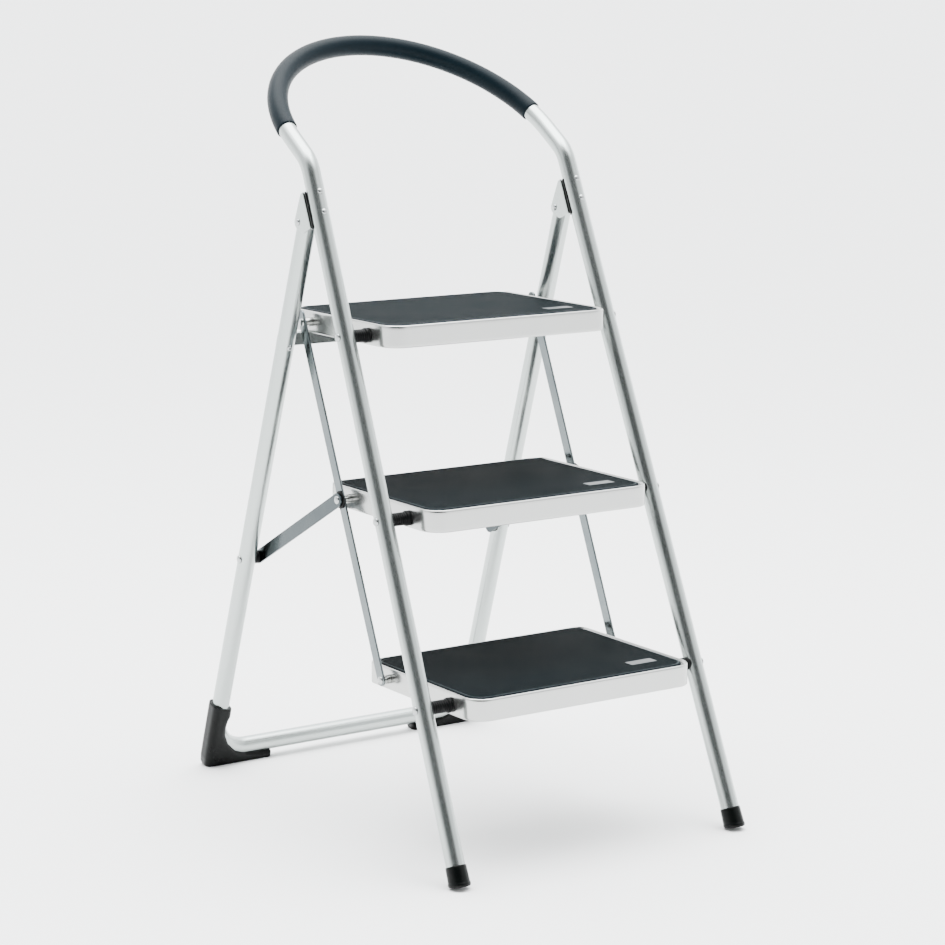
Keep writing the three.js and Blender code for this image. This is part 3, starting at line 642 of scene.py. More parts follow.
def buildFrontCaps():
    tilt = frontCap["soleTilt"]
    sole = Vector((0, math.sin(tilt), math.cos(tilt)))
    for name, side in sides.items():
        up = (frontAxis(side, 1) - frontAxis(side, 0)).normalized()
        across = Vector((1, 0, 0))
        across = (across - up * across.dot(up)).normalized()
        behind = up.cross(across)
        start = frontAxis(side, frontCap["soleHeight"])
        rings = []
        for height, radius in frontCap["profile"]:
            base = start + up * height
            share = max(0.0, 1 - height / frontCap["tiltedBelow"])
            ring = []
            for point in ringAround(base, across, behind, radius, frontCap["sides"]):
                ring.append(point - up * (point - base).dot(sole) / up.dot(sole) * share)
            rings.append(ring)
        points, faces = loft(rings)
        cap = meshPiece("frontCap_" + name, points, faces, finishes["foot"], smoothUnder=45)
        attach(cap, "front_frame")
        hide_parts("front_foot_" + name)


# hinge brackets: bent sheet channels on black saddles behind the front legs

bracket = {
    "cheekMiddle": 0.0140,
    "dishRadius": 0.0153,  # middle of the web, which is dished to follow the leg
    "front": 0.0082,
    "webStart": 0.0090,  # depths where the web and the cheeks leave the hem
    "cheekStart": 0.0092,
    "hem": [(0.0002, 0.0004), (0.0006, 0.0001), (0.0011, 0.0003)],  # (in from the cheek, behind the front)
    "high": 0.0320,
    "topDepth": 0.0138,
    "edge": 0.0003,
    "lowHeights": [-0.0185, -0.0183, -0.0179, -0.0172, -0.0165, -0.01586, -0.0135, -0.0112],
    "pinHeights": [-0.0088, -0.00636, -0.0042, -0.0021, 0, 0.0021, 0.0043],
    "cornerRadius": 0.009,
    "lowCorner": (0.027, -0.0095),  # (depth, height) of the middle of the lower corner
    "chamfer": (-0.01586, -0.00636),  # heights where the slanted edge starts and ends
    "chamferDepth": 0.03336,
    "runStart": (0.0439, 0.0043),  # (depth, height) where the straight edge up starts
    "saddleInner": 0.0127,
    "saddleOuter": 0.0144,
    "saddleRings": [  # (height, inset), rounded at both ends
        (-0.0201, 0.0006), (-0.0198, 0.0001), (-0.0193, 0.0), (0.0306, 0.0),
        (0.0310, 0.0001), (0.0312, 0.0006),
    ],
    "saddleLip": 0.0026,  # the liner starts this far behind the middle of the leg
}


def legFrame(side):
    # axes at the hinge: across, straight back from the front leg, up the leg
    origin = hinge.copy()
    origin.x = side * stool["hingeHalfWidth"]
    back = Vector((0, math.cos(stool["frontLean"]), -math.sin(stool["frontLean"])))
    up = Vector((0, math.sin(stool["frontLean"]), math.cos(stool["frontLean"])))
    return origin - back * stool["hingeBehindLeg"], Vector((1, 0, 0)), back, up


def cheekDepth(height):
    # how far back the cheek reaches at each height: round the pin, then a straight run up
    radius = bracket["cornerRadius"]
    cornerDepth, cornerHeight = bracket["lowCorner"]
    chamferLow, chamferHigh = bracket["chamfer"]
    runDepth, runLow = bracket["runStart"]
    if height < chamferLow:
        return cornerDepth + math.sqrt(max(0, radius**2 - (height - cornerHeight) ** 2))
    if height < chamferHigh:
        return bracket["chamferDepth"] + height - chamferLow
    if height < runLow:
        return stool["hingeBehindLeg"] + math.sqrt(radius**2 - height**2)
    share = (height - runLow) / (bracket["high"] - runLow)
    return runDepth + (bracket["topDepth"] - runDepth) * share


def bracketSection(deep):
    # half of the folded sheet: down the cheek, round the hem, over the dished web
    half, front, dish = bracket["cheekMiddle"], bracket["front"], bracket["dishRadius"]
    start = bracket["cheekStart"]
    row = [(half, deep - (deep - start) * k / 8) for k in range(9)]
    row += [(half - inward, front + behind) for inward, behind in bracket["hem"]]
    first = math.asin(bracket["webStart"] / dish)
    for k in range(13):
        angle = first + (math.pi / 2 - first) * k / 12
        row.append((dish * math.cos(angle), dish * math.sin(angle)))
    return row + [(-x, y) for x, y in reversed(row[:-1])]


def buildBrackets():
    runLow = bracket["runStart"][1]
    heights = bracket["lowHeights"] + bracket["pinHeights"]
    heights += [runLow + (bracket["high"] - runLow) * k / 12 for k in range(1, 13)]
    for name, side in sides.items():
        origin, across, back, up = legFrame(side)
        rows = [[(x, y, height) for x, y in bracketSection(cheekDepth(height))] for height in heights]
        count = len(rows[0])
        points = placeIn([p for row in rows for p in row], origin, across, back, up)
        faces = []
        for r in range(len(rows) - 1):
            for k in range(count - 1):
                a = r * count + k
                faces.append((a, a + 1, a + 1 + count, a + count))
        channel = meshPiece("hingeBracket_" + name, points, faces, finishes["frame"], smoothUnder=30)
        wall = channel.modifiers.new("sheet", "SOLIDIFY")
        wall.thickness = stool["sheet"]
        wall.offset = 0
        edge = channel.modifiers.new("edge", "BEVEL")
        edge.width = bracket["edge"]
        edge.segments = 2
        edge.limit_method = "ANGLE"
        edge.angle_limit = math.radians(50)
        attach(channel, "front_frame")
        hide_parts("hinge_bracket_" + name)
        buildSaddle(name, origin, across, back, up)


def buildSaddle(name, origin, across, back, up):
    inner, outer, lip = bracket["saddleInner"], bracket["saddleOuter"], bracket["saddleLip"]

    def section(inset):
        ring = []
        for radius, turn in ((inner + inset * 0.3, 1), (outer - inset, -1)):
            first = math.asin((lip + inset) / radius)
            for k in range(25):
                share = k / 24 if turn == 1 else 1 - k / 24
                angle = first + (math.pi - 2 * first) * share
                ring.append((radius * math.cos(angle), radius * math.sin(angle)))
        return ring

    rings = []
    for height, inset in bracket["saddleRings"]:
        rings.append(placeIn([(x, y, height) for x, y in section(inset)], origin, across, back, up))
    points, faces = loft(rings)
    saddle = meshPiece("bracketSaddle_" + name, points, faces, finishes["spacer"], smoothUnder=35)
    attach(saddle, "front_frame")
    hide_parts("bracket_saddle_" + name)


# rear frame: one tube bent twice, a flat strut and two moulded shoes

rear = {
    "aboveHinge": 0.010,
    "crossbarHeight": 0.023,
    "bendRadius": 0.052,
    "strutWidth": 0.020,
    "strutThickness": 0.003,
    "strutCorner": 0.004,
    "strutEdge": 0.0007,
}
rearUp = Vector((0, -math.sin(stool["rearLean"]), math.cos(stool["rearLean"])))
rearBack = Vector((0, math.cos(stool["rearLean"]), math.sin(stool["rearLean"])))


def rearPath():
    top = rearAxis(1, hinge.z + rear["aboveHinge"] * math.cos(stool["rearLean"]))
    corner = rearAxis(1, rear["crossbarHeight"])
    corners = [top, corner, mirrored(corner), mirrored(top)]
    return roundedPath(corners, [rear["bendRadius"]] * 2, stepDegrees=3)


def buildRearTube():
    tube = frameTube("rearTube", rearPath())
    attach(tube, "rear_frame")
    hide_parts("rear_frame_tube")


def roundBar(outline, low, high, edge):
    # a flat bar: an outline function of an inset, pushed from low to high with rounded edges
    stations = [(low, edge * 2.2), (low, edge), (low + edge * 0.3, edge * 0.3), (low + edge, 0)]
    stations += [(low + high - x, inset) for x, inset in reversed(stations)]
    return loft([[(x, a, b) for a, b in outline(inset)] for x, inset in stations])


def roundedOutline(halfLength, halfWidth, corner, steps):
    # the outline function of a rectangle with round corners
    def outline(inset):
        ring = []
        for a, b, start in ((1, 1, 0), (-1, 1, 90), (-1, -1, 180), (1, -1, 270)):
            for k in range(steps + 1):
                angle = math.radians(start + 90 * k / steps)
                along = a * (halfLength - corner) + (corner - inset) * math.cos(angle)
                ring.append((along, b * (halfWidth - corner) + (corner - inset) * math.sin(angle)))
        return ring

    return outline


def buildStrut():
    low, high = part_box("rear_strut")
    middle = (low + high) / 2
    outline = roundedOutline(high.x, rear["strutWidth"] / 2, rear["strutCorner"], steps=5)
    thick = rear["strutThickness"]
    points, faces = roundBar(outline, -thick / 2, thick / 2, rear["strutEdge"])
    placed = placeIn(points, Vector((0, middle.y, middle.z)), rearBack, Vector((1, 0, 0)), rearUp)
    strut = meshPiece("rearStrut", placed, faces, finishes["frame"], smoothUnder=35)
    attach(strut, "rear_frame")
    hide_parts("rear_strut")


shoe = {
    "outline": [  # (outboard, up the leg) in the plane of the rear frame, round the outside of the bend
        (0.2362, 0.1062), (0.2363, 0.0900), (0.2364, 0.0400), (0.2364, 0.0160),
        (0.2352, 0.0050), (0.2300, -0.0050), (0.1290, -0.0050), (0.1250, 0.0020),
        (0.1250, 0.0118), (0.1290, 0.0145), (0.1500, 0.0160), (0.1700, 0.0195),
        (0.1890, 0.0290), (0.2020, 0.0425), (0.2088, 0.0560), (0.2098, 0.0680),
        (0.2086, 0.0780), (0.2056, 0.0860), (0.2056, 0.1000),
    ],
    "collar": 0.083,  # over this height the rounding leaves the collar's own height alone
    "halfThickness": 0.0146,
    "edgeRound": 0.0095,
    "edgeSteps": 5,
    "sharpest": 0.55,  # keeps sharp corners from running away when the outline moves in
    "voxel": 0.0009,
    "smoothing": 5,
    "soleHeight": 0.0001,
}


def insetShoe(inset):
    outline = [Vector(point) for point in shoe["outline"]]
    ring = []
    for i, here in enumerate(outline):
        one = (here - outline[i - 1]).normalized()
        two = (outline[(i + 1) % len(outline)] - here).normalized()
        normal = Vector((one.y + two.y, -one.x - two.x)).normalized()
        moved = here + normal * inset / max(shoe["sharpest"], normal.dot(Vector((one.y, -one.x))))
        if here.y > shoe["collar"]:
            moved.y = here.y
        ring.append(moved)
    return ring


def buildShoes():
    origin = rearAxis(1, 0)
    origin.x = 0
    edge = shoe["edgeRound"]
    layers = []
    for k in range(shoe["edgeSteps"] + 1):
        angle = k / shoe["edgeSteps"] * math.pi / 2
        depth = -shoe["halfThickness"] + edge * (1 - math.cos(angle))
        layers.append((depth, insetShoe(edge * (1 - math.sin(angle)))))
    layers += [(-depth, ring) for depth, ring in reversed(layers)]
    for name, side in sides.items():
        across = Vector((side, 0, 0))
        rings = [
            placeIn([(p.x, depth, p.y) for p in ring], origin, across, rearBack, rearUp)
            for depth, ring in layers
        ]
        points, faces = loft(rings)
        body = meshPiece("rearShoe_" + name, points, faces, finishes["foot"], smoothUnder=60)
        remesh = body.modifiers.new("skin", "REMESH")
        remesh.mode = "VOXEL"
        remesh.voxel_size = shoe["voxel"]
        remesh.use_smooth_shade = True
        soft = body.modifiers.new("soften", "SMOOTH")
        soft.factor = 0.5
        soft.iterations = shoe["smoothing"]
        applyModifiers(body)
        cutLevel(body)
        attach(body, "rear_frame")
        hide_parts("rear_foot_" + name)


def cutLevel(piece):
    # trims what is under the floor and closes the sole
    tidy = bmesh.new()
    tidy.from_mesh(piece.data)
    everything = tidy.verts[:] + tidy.edges[:] + tidy.faces[:]
    bmesh.ops.bisect_plane(
        tidy, geom=everything, plane_co=(0, 0, shoe["soleHeight"]), plane_no=(0, 0, -1), clear_outer=True
    )
    bmesh.ops.holes_fill(tidy, edges=[e for e in tidy.edges if e.is_boundary], sides=0)
    bmesh.ops.recalc_face_normals(tidy, faces=tidy.faces)
    tidy.to_mesh(piece.data)
    tidy.free()
    piece.data.shade_smooth()
    piece.data.set_sharp_from_angle(angle=math.radians(50))
    if not piece.data.materials:
        piece.data.materials.append(finishes["foot"])


# treads: pressed pans with a ribbed mat let into each

tread = {
    "halfWidth": 0.179,
    "front": -0.0578,
    "rear": 0.2044,
    "frontCorner": 0.028,
    "rearCorner": 0.015,
    "leastCorner": 0.0008,
    "flatRun": 0.003,  # a narrow strip beside each corner keeps the long walls flat
    "profile": [  # (inset, height) from the middle of the recess out, down the wall and back in
        (0.0065, 0.0143), (0.0045, 0.0143), (0.0038, 0.0145), (0.0034, 0.0152),
        (0.0033, 0.0160), (0.0029, 0.0167), (0.0022, 0.0170), (0.0014, 0.0168),
        (0.0007, 0.0162), (0.0002, 0.0152), (0.0000, 0.0138), (0.0000, 0.0100),
        (0.0000, -0.0085), (0.0000, -0.0112), (0.0003, -0.0121), (0.0009, -0.0126),
        (0.0017, -0.0125), (0.0021, -0.0118), (0.0019, -0.0108), (0.0016, -0.0098),
        (0.0016, 0.0100), (0.0020, 0.0121), (0.0032, 0.0127), (0.0070, 0.0127),
    ],
}
mat = {
    "frontCorner": 0.0278,
    "rearCorner": 0.0258,
    "profile": [  # (inset, height) from the underside up over the raised rim to the field
        (0.0070, 0.0145), (0.0052, 0.0145), (0.0049, 0.0149), (0.0049, 0.0166),
        (0.0052, 0.0171), (0.0060, 0.0173), (0.0072, 0.0174), (0.0076, 0.0178),
        (0.0081, 0.0180), (0.0086, 0.0180), (0.0091, 0.0177), (0.0094, 0.0171),
        (0.0112, 0.0170),
    ],
    "rimOver": 0.01795,
    "rightMargin": 0.005,  # the mat stops short of the right edge
    "ribPitch": 0.0030,
    "ribWidth": 0.0017,
    "ribHeight": 0.0006,
    "ribSunk": 0.0002,
    "ribInset": 0.0110,
    "patchCentre": (0.121, -0.0118),
    "patchSize": (0.042, 0.017),
    "patchCorner": 0.0012,
    "patchSunk": 0.0004,
    "patchProud": 0.00025,
    "patchEdge": 0.0001,
}


def treadRing(inset, frontCorner, rearCorner, rightMargin=0, segments=10):
    half = tread["halfWidth"] - inset
    frontEdge, rearEdge = tread["front"] + inset, tread["rear"] - inset
    ring = []
    for side, y, corner, start in (
        (1, frontEdge, frontCorner, -90),
        (1, rearEdge, rearCorner, 0),
        (-1, rearEdge, rearCorner, 90),
        (-1, frontEdge, frontCorner, 180),
    ):
        radius = max(corner - inset, tread["leastCorner"])
        centreY = y + radius if y == frontEdge else y - radius
        for k in range(-1, segments + 2):
            angle = math.radians(start + 90 * min(max(k, 0), segments) / segments)
            run = tread["flatRun"] * (min(k, 0) + max(k - segments, 0))
            x = side * (half - radius) + radius * math.cos(angle) - run * math.sin(angle)
            turned = centreY + radius * math.sin(angle) + run * math.cos(angle)
            ring.append((x - rightMargin if side > 0 else x, turned))
    return ring


def buildTreads():
    rib = makeRib()
    for name in treadNames:
        pivot = treadPivots[name]
        rings = []
        for inset, height in tread["profile"]:
            ring = treadRing(inset, tread["frontCorner"], tread["rearCorner"])
            rings.append([Vector((x, pivot.y + y, pivot.z + height)) for x, y in ring])
        points, faces = loft(rings)
        pan = meshPiece("treadPan_" + name, points, faces, finishes["tread"], smoothUnder=60)
        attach(pan, name + "_tread")
        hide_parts("tread_" + name)
        buildMat(name, pivot, rib)
    bpy.data.objects.remove(rib)


def makeRib():
    half, high, low = mat["ribWidth"] / 2, mat["ribHeight"], -mat["ribSunk"]
    section = [(-half, low), (-half, high * 0.5), (-half * 0.6, high), (half * 0.6, high)]
    section += [(half, high * 0.5), (half, low)]
    rings = [[Vector((x, y, z)) for y, z in section] for x in (-1, 1)]
    points, faces = loft(rings)
    return meshPiece("ribShape", points, faces, finishes["mat"], smoothUnder=80)


def buildMat(name, pivot, rib):
    rings = []
    for inset, height in mat["profile"]:
        ring = treadRing(inset, mat["frontCorner"], mat["rearCorner"], mat["rightMargin"])
        rings.append([Vector((x, pivot.y + y, pivot.z + height)) for x, y in ring])
    points, faces = loft(rings)
    plate = meshPiece("matPlate_" + name, points, faces, finishes["mat"], smoothUnder=60)
    markRimHighlight(plate, pivot.z + mat["rimOver"])
    inset = mat["ribInset"]
    length = tread["rear"] - tread["front"] - 2 * inset
    count = int(length / mat["ribPitch"])
    start = tread["front"] + inset + (length - (count - 1) * mat["ribPitch"]) / 2
    field = mat["profile"][-1][1]
    values = {
        "Rib": rib,
        "Count": count,
        "Pitch": mat["ribPitch"],
        "Start": (-mat["rightMargin"] / 2, pivot.y + start, pivot.z + field),
        "Half Width": tread["halfWidth"] - inset - mat["rightMargin"] / 2,
        "Corner": mat["frontCorner"] - inset,
        "Finish": finishes["mat"],
    }
    cover = runTree(plate, ribTree, values, "treadMat_" + name)
    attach(cover, name + "_tread")
    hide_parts("mat_" + name)
    buildPatch(name, pivot)


def markRimHighlight(plate, height):
    # marks the top of the raised rim, where the mat gets a painted highlight
    attribute = plate.data.attributes.new("rim", "FLOAT", "POINT")
    attribute.data.foreach_set("value", [1.0 if v.co.z > height else 0.0 for v in plate.data.vertices])


def buildPatch(name, pivot):
    x, y = mat["patchCentre"]
    wide, deep = mat["patchSize"]
    top = pivot.z + mat["profile"][-1][1] + mat["ribHeight"]
    outline = roundedOutline(wide / 2, deep / 2, mat["patchCorner"], steps=3)
    points, faces = roundBar(outline, -mat["patchSunk"], mat["patchProud"], mat["patchEdge"])
    placed = [Vector((x + p[1], pivot.y + y + p[2], top + p[0])) for p in points]
    patch = meshPiece("matPatch_" + name, placed, faces, finishes["patch"], smoothUnder=40)
    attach(patch, name + "_tread")


# flat links

links = {
    "longWidth": 0.016,
    "shortWidth": 0.019,
    "edge": 0.0006,
    "topExtra": 0.010,  # how far the long link runs on past its top pin
}


def barOutline(low, high, width, extra):
    along = math.atan2(high.z - low.z, high.y - low.y)
    topY = high.y + extra * math.cos(along)
    topZ = high.z + extra * math.sin(along)

    def outline(inset):
        ring = []
        for y, z, start in ((topY, topZ, along - math.pi / 2), (low.y, low.z, along + math.pi / 2)):
            for k in range(17):
                angle = start + math.pi * k / 16
                reach = width / 2 - inset
                ring.append((y + reach * math.cos(angle), z + reach * math.sin(angle)))
        return ring

    return outline


def buildLinks():
    low, high = (treadPivots[name] + linkBack for name in ("lower", "upper"))
    longBar = barOutline(low, high, links["longWidth"], links["topExtra"])
    shortBar = barOutline(shortFoot(), linkPivot, links["shortWidth"], 0)
    kinds = (
        ("long_link_", "longLink_", longBar, finishes["link"]),
        ("short_link_", "shortLink_", shortBar, finishes["shortLink"]),
    )
    for name in sides:
        for node, label, outline, finish in kinds:
            low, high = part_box(node + name)
            points, faces = roundBar(outline, low.x, high.x, links["edge"])
            bar = meshPiece(label + name, points, faces, finish, smoothUnder=35)
            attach(bar, node + name)
            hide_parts(node + name)


def shortFoot():
    low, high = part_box("leg_pin_left")
    return Vector((0, (low.y + high.y) / 2, (low.z + high.z) / 2))


# rivets, sleeves and spacers, set on points


def partShapes():
    # unit shapes along Z, stretched to size by the tree
    dome = [(0.0, 1.0), (0.22, 0.985), (0.42, 0.93), (0.6, 0.83), (0.76, 0.68), (0.88, 0.5)]
    dome += [(0.96, 0.28), (1.0, 0.06), (1.0, -0.04), (0.96, -0.08), (0.0, -0.08)]
    shank = [(0.0, 1.0), (0.9, 1.0), (1.0, 0.98), (1.0, 0.02), (0.9, 0.0), (0.0, 0.0)]
    bead = [(0.0, 1.0), (0.84, 1.0), (0.9, 0.97), (0.97, 0.86), (1.0, 0.7), (1.0, 0.3)]
    bead += [(0.97, 0.14), (0.9, 0.03), (0.84, 0.0), (0.0, 0.0)]
    collection = bpy.data.collections.new("fixingShapes")
    scene.collection.children.link(collection)
    for label, profile in (("a_dome", dome), ("b_shank", shank), ("c_bead", bead)):
        points, faces = lathe(profile)
        shape = meshPiece(label, points, faces, finishes["rivet"], smoothUnder=45)
        scene.collection.objects.unlink(shape)
        collection.objects.link(shape)
    return collection


fixings = {
    "headRadius": 0.0058,
    "headHeight": 0.0025,
    "shankShare": 0.62,  # shank radius over head radius
    "bracketHead": 0.0042,
    "bracketHeadHeight": 0.0020,
    "bracketRivets": {"upper": 0.026, "lower": -0.0026},  # up the leg from the hinge
    "hingeHead": 0.0047,
    "halfSheet": 0.0006,
    "spacerRadius": 0.0088,
    "spacerFlange": 0.0102,
    "flangeLength": 0.0055,
    "spacerBead": 0.0032,
    "spacerSunk": 0.004,  # how far a spacer reaches into the round side of the tube
    "sleeveRadius": 0.0060,
    "discRadius": 0.0120,
    "thinBead": 0.003,
    "gap": 0.0003,
}
fixingLooks = {  # finish and slot of each kind of fixing
    "Rivets": ("rivet", "pin_zinc"),
    "Spacers": ("spacer", "spacer_plastic"),
    "Sleeves": ("tread", "pin_zinc"),
}
domePart, shankPart, beadPart = 0, 1, 2


def rivetSpots(start, end, head, height, bothHeads=True):
    # a pin from start to end, with a dome outside its end or outside both ends
    aim = (end - start).normalized()
    shank = head * fixings["shankShare"]
    spots = [(shankPart, start, aim, (shank, shank, (end - start).length))]
    if bothHeads:
        spots.append((domePart, start, -aim, (head, head, height)))
    return spots + [(domePart, end, aim, (head, head, height))]


def ringSpots(start, end, radius, pitch):
    # a row of rounded rings that fills the run from start to end
    aim = (end - start).normalized()
    length = (end - start).length
    count = max(1, round(length / pitch))
    each = length / count
    return [(beadPart, start + aim * each * k, aim, (radius, radius, each)) for k in range(count)]


def sideSpan(node):
    # how far out from the middle of the stool a part starts and ends
    low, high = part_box(node)
    return sorted((abs(low.x), abs(high.x)))


def treadFixings(put, name, sideName, side):
    pivot = treadPivots[name]
    body = name + "_tread"
    leg = abs(frontAxis(side, pivot.z).x)
    inner = tread["halfWidth"] - stool["sheet"]
    head, height = fixings["headRadius"], fixings["headHeight"]

    def across(centre, reach):
        return Vector((side * reach, centre.y, centre.z))

    spots = rivetSpots(across(pivot, inner), across(pivot, leg + stool["tubeRadius"]), head, height)
    put("Rivets", "front_frame", f"tread_pin_{name}_{sideName}", spots)
    start = tread["halfWidth"] + fixings["gap"]
    middle = start + fixings["flangeLength"]
    end = leg - stool["tubeRadius"] + fixings["spacerSunk"]
    start, middle, end = (across(pivot, reach) for reach in (start, middle, end))
    spots = ringSpots(start, middle, fixings["spacerFlange"], fixings["flangeLength"])
    spots += ringSpots(middle, end, fixings["spacerRadius"], fixings["spacerBead"])
    put("Spacers", "front_frame", f"tread_spacer_{name}_{sideName}", spots)

    joint = pivot + linkBack
    outer = sideSpan(("short_link_" if name == "middle" else "long_link_") + sideName)[1]
    spots = rivetSpots(across(joint, inner), across(joint, outer), head, height)
    put("Rivets", body, f"link_pin_{name}_{sideName}", spots)
    near, far = sideSpan(f"link_washer_{name}_{sideName}")
    sleeve = fixings["sleeveRadius"]
    spots = [(shankPart, across(joint, near), Vector((side, 0, 0)), (sleeve, sleeve, far - near))]
    put("Sleeves", body, f"link_washer_{name}_{sideName}", spots)
    if name == "middle":
        near, far = (across(joint, reach) for reach in sideSpan("short_link_washer_" + sideName))
        spots = ringSpots(near, far, fixings["discRadius"], fixings["thinBead"])
        put("Spacers", body, "short_link_washer_" + sideName, spots)


def frameFixings(put, sideName, side):
    origin, across, back, up = legFrame(side)
    small, smallHeight = fixings["bracketHead"], fixings["bracketHeadHeight"]
    for where, offset in fixings["bracketRivets"].items():
        middle = origin + up * offset
        middle.x = frontAxis(side, middle.z).x
        start = middle - back * stool["tubeRadius"]
        end = middle + back * (bracket["dishRadius"] + fixings["halfSheet"])
        spots = rivetSpots(start, end, small, smallHeight)
        put("Rivets", "front_frame", f"bracket_rivet_{sideName}_{where}", spots)
    pin = Vector((side * stool["hingeHalfWidth"], hinge.y, hinge.z))
    reach = across * (bracket["cheekMiddle"] + fixings["halfSheet"])
    spots = rivetSpots(pin - reach, pin + reach, fixings["hingeHead"], fixings["headHeight"])
    put("Rivets", "front_frame", "hinge_pin_" + sideName, spots)

    foot = shortFoot()
    leg = abs(rearAxis(side, foot.z).x)
    start = Vector((side * sideSpan("leg_pin_" + sideName)[0], foot.y, foot.z))
    end = Vector((side * (leg + stool["tubeRadius"]), foot.y, foot.z))
    spots = rivetSpots(start, end, fixings["headRadius"], fixings["headHeight"], bothHeads=False)
    put("Rivets", "rear_frame", "leg_pin_" + sideName, spots)
    end = Vector((side * (leg - stool["tubeRadius"] + fixings["spacerSunk"]), foot.y, foot.z))
    spots = ringSpots(start, end, fixings["spacerRadius"], fixings["thinBead"])
    put("Spacers", "rear_frame", "leg_spacer_" + sideName, spots)
    low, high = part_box("rear_strut")
    middle = (low + high) / 2
    middle.x = rearAxis(side, middle.z).x
    end = middle + rearBack * (rear["strutThickness"] / 2)
    start = end - rearBack * (2 * stool["tubeRadius"] + rear["strutThickness"] + fixings["gap"])
    put("Rivets", "rear_frame", "strut_rivet_" + sideName, rivetSpots(start, end, small, smallHeight))


def fixingPiece(label, kind, body, batch, shapes):
    spots, nodes = batch
    finish, slot = fixingLooks[kind]
    mesh = bpy.data.meshes.new(label + "Points")
    mesh.from_pydata([tuple(spot[1]) for spot in spots], [], [])
    part = mesh.attributes.new("part", "INT", "POINT")
    part.data.foreach_set("value", [spot[0] for spot in spots])
    for name, key in (("aim", 2), ("stretch", 3)):
        attribute = mesh.attributes.new(name, "FLOAT_VECTOR", "POINT")
        attribute.data.foreach_set("vector", [value for spot in spots for value in spot[key]])
    source = bpy.data.objects.new(label + "Points", mesh)
    scene.collection.objects.link(source)
    values = {"Parts": shapes, "Finish": finishes[finish]}
    piece = runTree(source, scatterTree, values, label)
    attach(piece, body)
    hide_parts(*nodes)


def buildFixings():
    shapes = partShapes()
    batches = {}

    def put(kind, body, node, spots):
        heldSpots, heldNodes = batches.setdefault((kind, body), ([], []))
        heldSpots.extend(spots)
        heldNodes.append(node)

    for name in treadNames:
        for sideName, side in sides.items():
            treadFixings(put, name, sideName, side)
    for sideName, side in sides.items():
        frameFixings(put, sideName, side)
    bodies = {"front_frame": "front", "rear_frame": "rear"}
    bodies.update({name + "_tread": name + "Tread" for name in treadNames})
    for body, short in bodies.items():
        for kind in ("Rivets", "Spacers"):
            if (kind, body) in batches:
                fixingPiece(short + kind, kind, body, batches[kind, body], shapes)
    for name in treadNames:
        body = name + "_tread"
        fixingPiece(name + "Sleeves", "Sleeves", body, batches["Sleeves", body], shapes)
    for shape in list(shapes.objects):
        bpy.data.objects.remove(shape)
    bpy.data.collections.remove(shapes)


buildFrontTube()
buildGrip()
buildFrontCaps()
buildBrackets()
print("front frame dressed")
buildRearTube()
buildStrut()
buildShoes()
print("rear frame dressed")
buildTreads()
print("treads and mats dressed")
buildLinks()
buildFixings()
print("links and fixings dressed")


# room, lights and camera

room = {
    "floorColour": (0.93, 0.93, 0.925),
    "floorHalf": 120.0,
    "sideGlow": 2.2,
    "backGlow": 4.4,
    "topGlow": 8.5,
    "darkSide": 0.015,  # share of the glow left on the viewer's side
    "darkRise": 0.46,  # slope at which the dark side is centred
    "darkEdge": (0.5, 0.92),  # these three are cosines between which one glow gives way to the next
    "backEdge": (0.3, -0.6),
    "topEdge": (0.55, 0.95),
    "camera": (-2.0581, -3.1161, 1.1482),
    "turn": math.radians(-33.677),
    "tilt": math.radians(10.367),
    "lens": 104.37,
}


def buildRoom():
    finish, bench = newFinish("floorPale")
    where = bench.objectPlace()
    cloud = bench.noise(where, 1.5, 3)
    pale = room["floorColour"]
    colour = bench.mix(cloud, pale, tuple(0.985 * value for value in pale))
    closeFinish(bench, {"Base Color": colour, "Roughness": cloud * 0.1 + 0.75, "Specular IOR Level": 0.1})
    half = room["floorHalf"]
    corners = [(-half, -half, 0), (half, -half, 0), (half, half, 0), (-half, half, 0)]
    floor = meshPiece("floor", corners, [(0, 1, 2, 3)], finish)


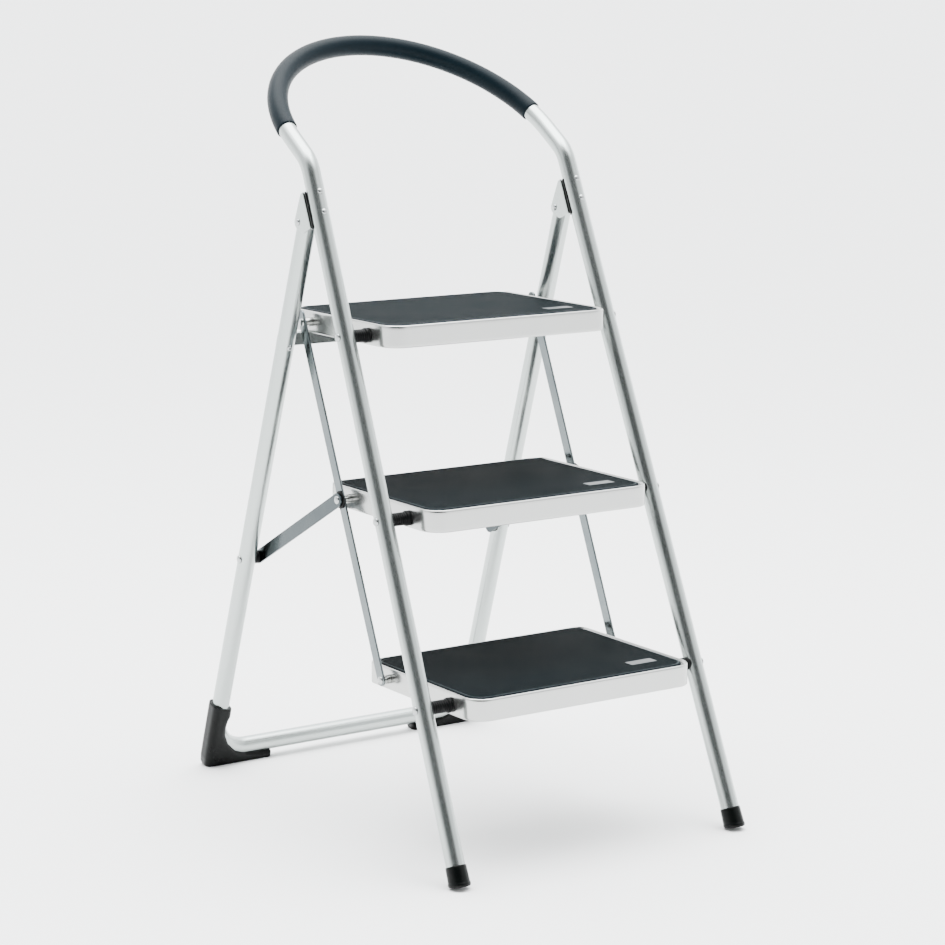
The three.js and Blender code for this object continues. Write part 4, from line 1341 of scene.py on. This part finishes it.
def buildWorld():
    # bright on all sides but one: the stool's curves pick up a dark band from the viewer's side
    world = bpy.data.worlds.new("softRoom")
    scene.world = world
    world.use_nodes = True
    world.node_tree.nodes.clear()
    bench = Bench(world.node_tree)
    direction = bench.add("ShaderNodeTexCoord", out="Generated")
    towards = Vector((math.sin(room["turn"]), -math.cos(room["turn"]), room["darkRise"])).normalized()
    product = {"operation": "DOT_PRODUCT"}
    facing = bench.add("ShaderNodeVectorMath", product, {0: direction, 1: towards}, out="Value")
    height = bench.add("ShaderNodeSeparateXYZ", None, {"Vector": direction}, out="Z")

    def ease(value, start, end, low, high):
        span = {"Value": value, "From Min": start, "From Max": end, "To Min": low, "To Max": high}
        return bench.add("ShaderNodeMapRange", {"interpolation_type": "SMOOTHSTEP"}, span)

    shade = ease(facing, *room["darkEdge"], 1.0, room["darkSide"])
    allRound = ease(facing, *room["backEdge"], room["sideGlow"], room["backGlow"])
    glow = ease(height, *room["topEdge"], allRound, room["topGlow"]) * shade
    light = bench.add("ShaderNodeBackground", None, {"Color": (0.965, 0.985, 1.0, 1), "Strength": glow})
    bench.add("ShaderNodeOutputWorld", None, {"Surface": light})


def softBox(label, place, target, size, power):
    data = bpy.data.lights.new(label, "AREA")
    data.shape = "RECTANGLE"
    data.size, data.size_y = size
    data.energy = power
    lamp = bpy.data.objects.new(label, data)
    lamp.location = place
    lamp.rotation_euler = (Vector(target) - Vector(place)).to_track_quat("-Z", "Y").to_euler()
    scene.collection.objects.link(lamp)


def buildCamera():
    data = bpy.data.cameras.new("view")
    data.sensor_width = 36
    data.lens = room["lens"]
    data.clip_end = 400
    camera = bpy.data.objects.new("view", data)
    turn, tilt = room["turn"], room["tilt"]
    back = Vector((math.sin(turn) * math.cos(tilt), -math.cos(turn) * math.cos(tilt), math.sin(tilt)))
    right = Vector((math.cos(turn), math.sin(turn), 0))
    turned = Matrix((right, back.cross(right), back)).transposed().to_4x4()
    camera.matrix_world = Matrix.Translation(room["camera"]) @ turned
    scene.collection.objects.link(camera)
    scene.camera = camera


buildRoom()
buildWorld()
softBox("topBox", place=(0.2, 0.3, 3.4), target=(0, 0, 0.3), size=(2.6, 2.6), power=160)
buildCamera()
print("room, lights and camera ready")
